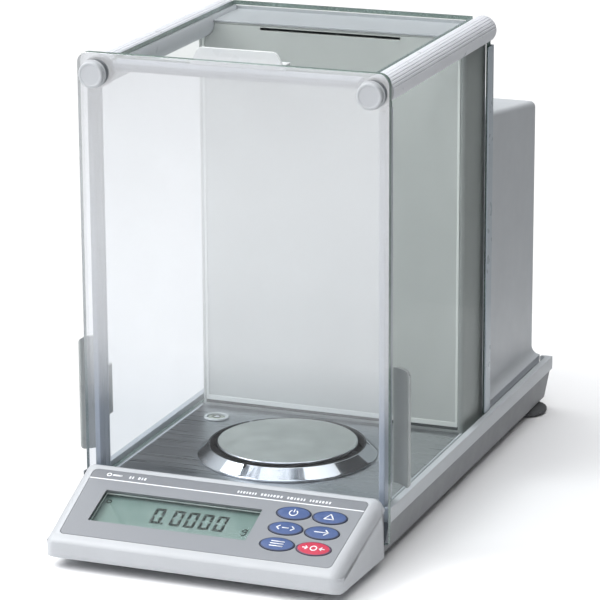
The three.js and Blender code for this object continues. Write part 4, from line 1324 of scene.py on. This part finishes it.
def make_ring():
    ring = Span("breeze_ring")
    outer = (ring.x1 - ring.x0) / 2
    crest, inner = outer - 7.3, outer - 8.3
    low, top = ring.z0, ring.z1
    profile = [
        (inner, low), (outer - 0.2, low), (outer, low + 0.2), (outer, low + 0.7), (outer - 0.25, low + 1.1),
        (outer - 0.9, low + 1.6), (crest + 1.0, top - 0.9), (crest + 0.4, top - 0.25), (crest, top),
        (inner + 0.3, top - 0.05), (inner, top - 0.3),
    ]
    cone = turned("draft_cone", profile, (ring.x, ring.y), steps=160)
    notches = []
    for i in range(3):
        turn = math.radians(20 + i * 120)
        notch = block("notch", -3, 3, -1.1, 1.1, top - 2.2, top + 1)
        notch.data.transform(
            Matrix.Translation((ring.x * MM, ring.y * MM, 0))
            @ Matrix.Rotation(turn, 4, "Z")
            @ Matrix.Translation((inner * MM, 0, 0))
        )
        notches.append(notch)
    carve(cone, *notches)

    # Painted shade: the ring's inward faces inside the crest take black plastic, standing in for the shadow
    # in the gap round the pan.
    def painted_shade_bore(polygon):
        out = Vector((polygon.center.x / MM - ring.x, polygon.center.y / MM - ring.y))
        inward = out.x * polygon.normal.x + out.y * polygon.normal.y < 0
        return int(inward and out.length < crest - 0.3)

    coated(cone, painted_shade_bore, CHROME, BLACK)
    place(soften(cone, 0.15, 2, 45), "draft_ring", "chrome", "breeze_ring")


# ---- Feet ---------------------------------------------------------------------------------------------


def make_feet():
    for name, _ in SIDES:
        disc = Span("foot_disc_" + name)
        radius = (disc.x1 - disc.x0) / 2
        top = disc.z1
        knurls = 30

        def knurled(r, height, turn):
            if r < radius - 1.1 or not 0.7 < height < 4.2:
                return r
            return r - 0.5 * (0.5 - 0.5 * math.cos(knurls * turn)) ** 2

        profile = [
            (0, 0), (radius - 2.4, 0), (radius - 1.2, 0.5), (radius - 0.4, 1.0), (radius, 1.6),
            (radius, 3.2), (radius - 0.4, 3.7), (radius - 1.2, 4.0), (9.5, top - 0.6), (8.2, top - 0.1),
            (7.6, top), (0, top),
        ]
        puck = turned("levelling_disc_" + name, profile, (disc.x, disc.y), steps=240, radius_at=knurled)
        wear(puck, RUBBER)
        place(soften(puck, 0.15, 2, 50), name + "_disc", "rubber", "foot_disc_" + name)

        stud = Span("foot_stud_" + name)
        radius = (stud.x1 - stud.x0) / 2
        pitch = 1.25
        profile = [(0, stud.z0)]
        height = stud.z0
        root = radius - 0.55
        while height + pitch < stud.z1:
            profile += [(root, height + 0.1), (radius, height + pitch * 0.45)]
            profile += [(radius, height + pitch * 0.6), (root, height + pitch * 0.95)]
            height += pitch
        profile += [(radius - 0.7, stud.z1), (0, stud.z1)]
        rod = wear(turned("threaded_stud_" + name, profile, (stud.x, stud.y), steps=48), STEEL)
        place(rod, name + "_stud", "steel", "foot_stud_" + name)

        pad = Span("front_foot_" + name)
        radius = (pad.x1 - pad.x0) / 2
        profile = [
            (0, 0), (radius - 2.4, 0), (radius - 1.2, 0.3), (radius - 0.8, 1),
            (radius - 0.2, pad.z1 - 0.6), (radius - 0.6, pad.z1), (0, pad.z1),
        ]
        foot = wear(turned("rubber_foot_" + name, profile, (pad.x, pad.y), steps=64), RUBBER)
        place(soften(foot, 0.2, 2, 50), "frame", "rubber", "front_foot_" + name)


# ---- Inside -------------------------------------------------------------------------------------------


def make_inside():
    dress("load_arm", STEEL, 0.4, 2)
    dress("force_coil", COPPER, 0.2, 2)
    dress("magnet_housing", STEEL, 0.5, 2)
    dress("calibration_mass", CHROME, 0.4, 2)
    dress("calibration_motor", BLACK, 0.5, 2)
    dress("main_board", BOARD, 0.2, 2)
    dress("key_board", BOARD, 0.2, 2)


# ---- Studio -------------------------------------------------------------------------------------------


def make_floor():
    left, right, front, rear = -1500, 260, -2200, 420
    side, bend = -118, -125
    wide, near = 1500, -420
    corners = [
        (left, front), (wide, front), (wide, near), (right, near),
        (right, rear), (side, rear), (side, bend), (left, bend),
    ]
    plane = mesh_object("studio_floor", [(x, y, -0.2) for x, y in corners], [tuple(range(8))])
    finish = Finish("studio_paper")
    # Painted shade and light: the floor is painted darker to the left, where the key light falls strongest,
    # and lighter to the right, to even out its brightness.
    across = finish.spread(finish.part("X"), 0.0, 1.0, -0.7, 0.1)
    tone = finish.mix(across, colour(238, 238, 239), colour(250, 250, 251))
    mottle = finish.spread(finish.noise(300, 2), 0.0, 1.0)
    speck = finish.mix(mottle, colour(252, 252, 252), colour(255, 255, 255))
    finish.paint(finish.mix(1.0, tone, speck, blend_type="MULTIPLY"))
    finish.shader.inputs["Roughness"].default_value = 0.9
    finish.shader.inputs["Specular IOR Level"].default_value = 0.1
    wear(plane, finish.material)


def broad_light(name, source, spread, strength):
    """A far, wide light that shines from the source direction alike on the whole studio."""
    lamp = bpy.data.lights.new(name, "SUN")
    lamp.angle = math.radians(spread)
    lamp.energy = strength
    obj = bpy.data.objects.new(name, lamp)
    obj.rotation_euler = Vector(source).to_track_quat("Z", "Y").to_euler()
    bpy.context.scene.collection.objects.link(obj)


def soft_light(name, source, aim, size, power):
    """A square softbox near enough that its light falls off across the object."""
    lamp = bpy.data.lights.new(name, "AREA")
    lamp.shape = "SQUARE"
    lamp.size = size
    lamp.energy = power
    obj = bpy.data.objects.new(name, lamp)
    obj.location = source
    obj.rotation_euler = (Vector(source) - Vector(aim)).to_track_quat("Z", "Y").to_euler()
    bpy.context.scene.collection.objects.link(obj)


def make_studio():
    """A bright ceiling to the front left, a backdrop seen white, a broad top light and a soft key light."""
    world = bpy.data.worlds.new("studio")
    world.use_nodes = True
    graph = Graph(world.node_tree, "Generated")
    overhead = graph.towards((-0.4, -0.25, 0.85))
    ceiling = graph.spread(overhead, 0.06, 1.1, 0.3, 0.9, interpolation_type="SMOOTHSTEP")
    below = graph.spread(graph.part("Z"), 0.0, 0.34, 0.0, -0.15)
    sky = graph.tree.nodes["Background"]
    graph.feed(graph.maths("ADD", ceiling, below), sky.inputs["Strength"])
    graph.feed((0.97, 0.985, 1.0, 1.0), sky.inputs["Color"])
    ahead = graph.towards((-0.35, 0.9, -0.28))
    backdrop = graph.node("ShaderNodeBackground")
    graph.feed((1.0, 1.0, 1.0, 1.0), backdrop.inputs["Color"])
    graph.feed(graph.spread(ahead, 1.1, 1.6, 0.85, 0.4), backdrop.inputs["Strength"])
    seen = graph.node("ShaderNodeLightPath").outputs["Is Camera Ray"]
    either = graph.blend(seen, sky.outputs["Background"], backdrop.outputs["Background"])
    graph.feed(either, graph.tree.nodes["World Output"].inputs["Surface"])
    bpy.context.scene.world = world
    broad_light("top_light", (-0.1, -0.1, 1.0), 90, 2.0)
    soft_light("key_light", (-0.8, -0.5, 1.0), (0, 0, 0.1), 0.7, 9)
    bpy.context.scene.view_settings.view_transform = "Standard"


def make_camera():
    """The photo's angle, without shift."""
    azimuth, elevation, roll = (math.radians(value) for value in (21.2587, 16.0331, -0.3082))
    lens = bpy.data.cameras.new("camera")
    lens.sensor_width = 36
    lens.lens = 193.54
    lens.clip_end = 50
    camera = bpy.data.objects.new("camera", lens)
    spot = Vector((0.71313, -1.85470, 0.69338))
    level = math.cos(elevation)
    ahead = Vector((-math.sin(azimuth) * level, math.cos(azimuth) * level, -math.sin(elevation)))
    right = ahead.cross(Vector((0, 0, 1))).normalized()
    up = right.cross(ahead)
    across = right * math.cos(roll) + up * math.sin(roll)
    upright = up * math.cos(roll) - right * math.sin(roll)
    camera.matrix_world = Matrix((
        (across.x, upright.x, -ahead.x, spot.x),
        (across.y, upright.y, -ahead.y, spot.y),
        (across.z, upright.z, -ahead.z, spot.z),
        (0, 0, 0, 1),
    ))
    bpy.context.scene.collection.objects.link(camera)
    bpy.context.scene.camera = camera


# ---- Build --------------------------------------------------------------------------------------------

make_camera()
make_studio()
make_floor()
make_base()
make_floor_plate()
make_level()
make_tower()
make_rear_cover()
make_sockets()
make_screws()
make_front_glass()
make_rails()
make_collars_and_caps()
make_posts()
make_cross_bar()
make_side_doors()
make_top_door()
make_console()
make_film()
for key in KEYS:
    make_key(key)
make_display()
make_pan()
make_ring()
make_feet()
make_inside()
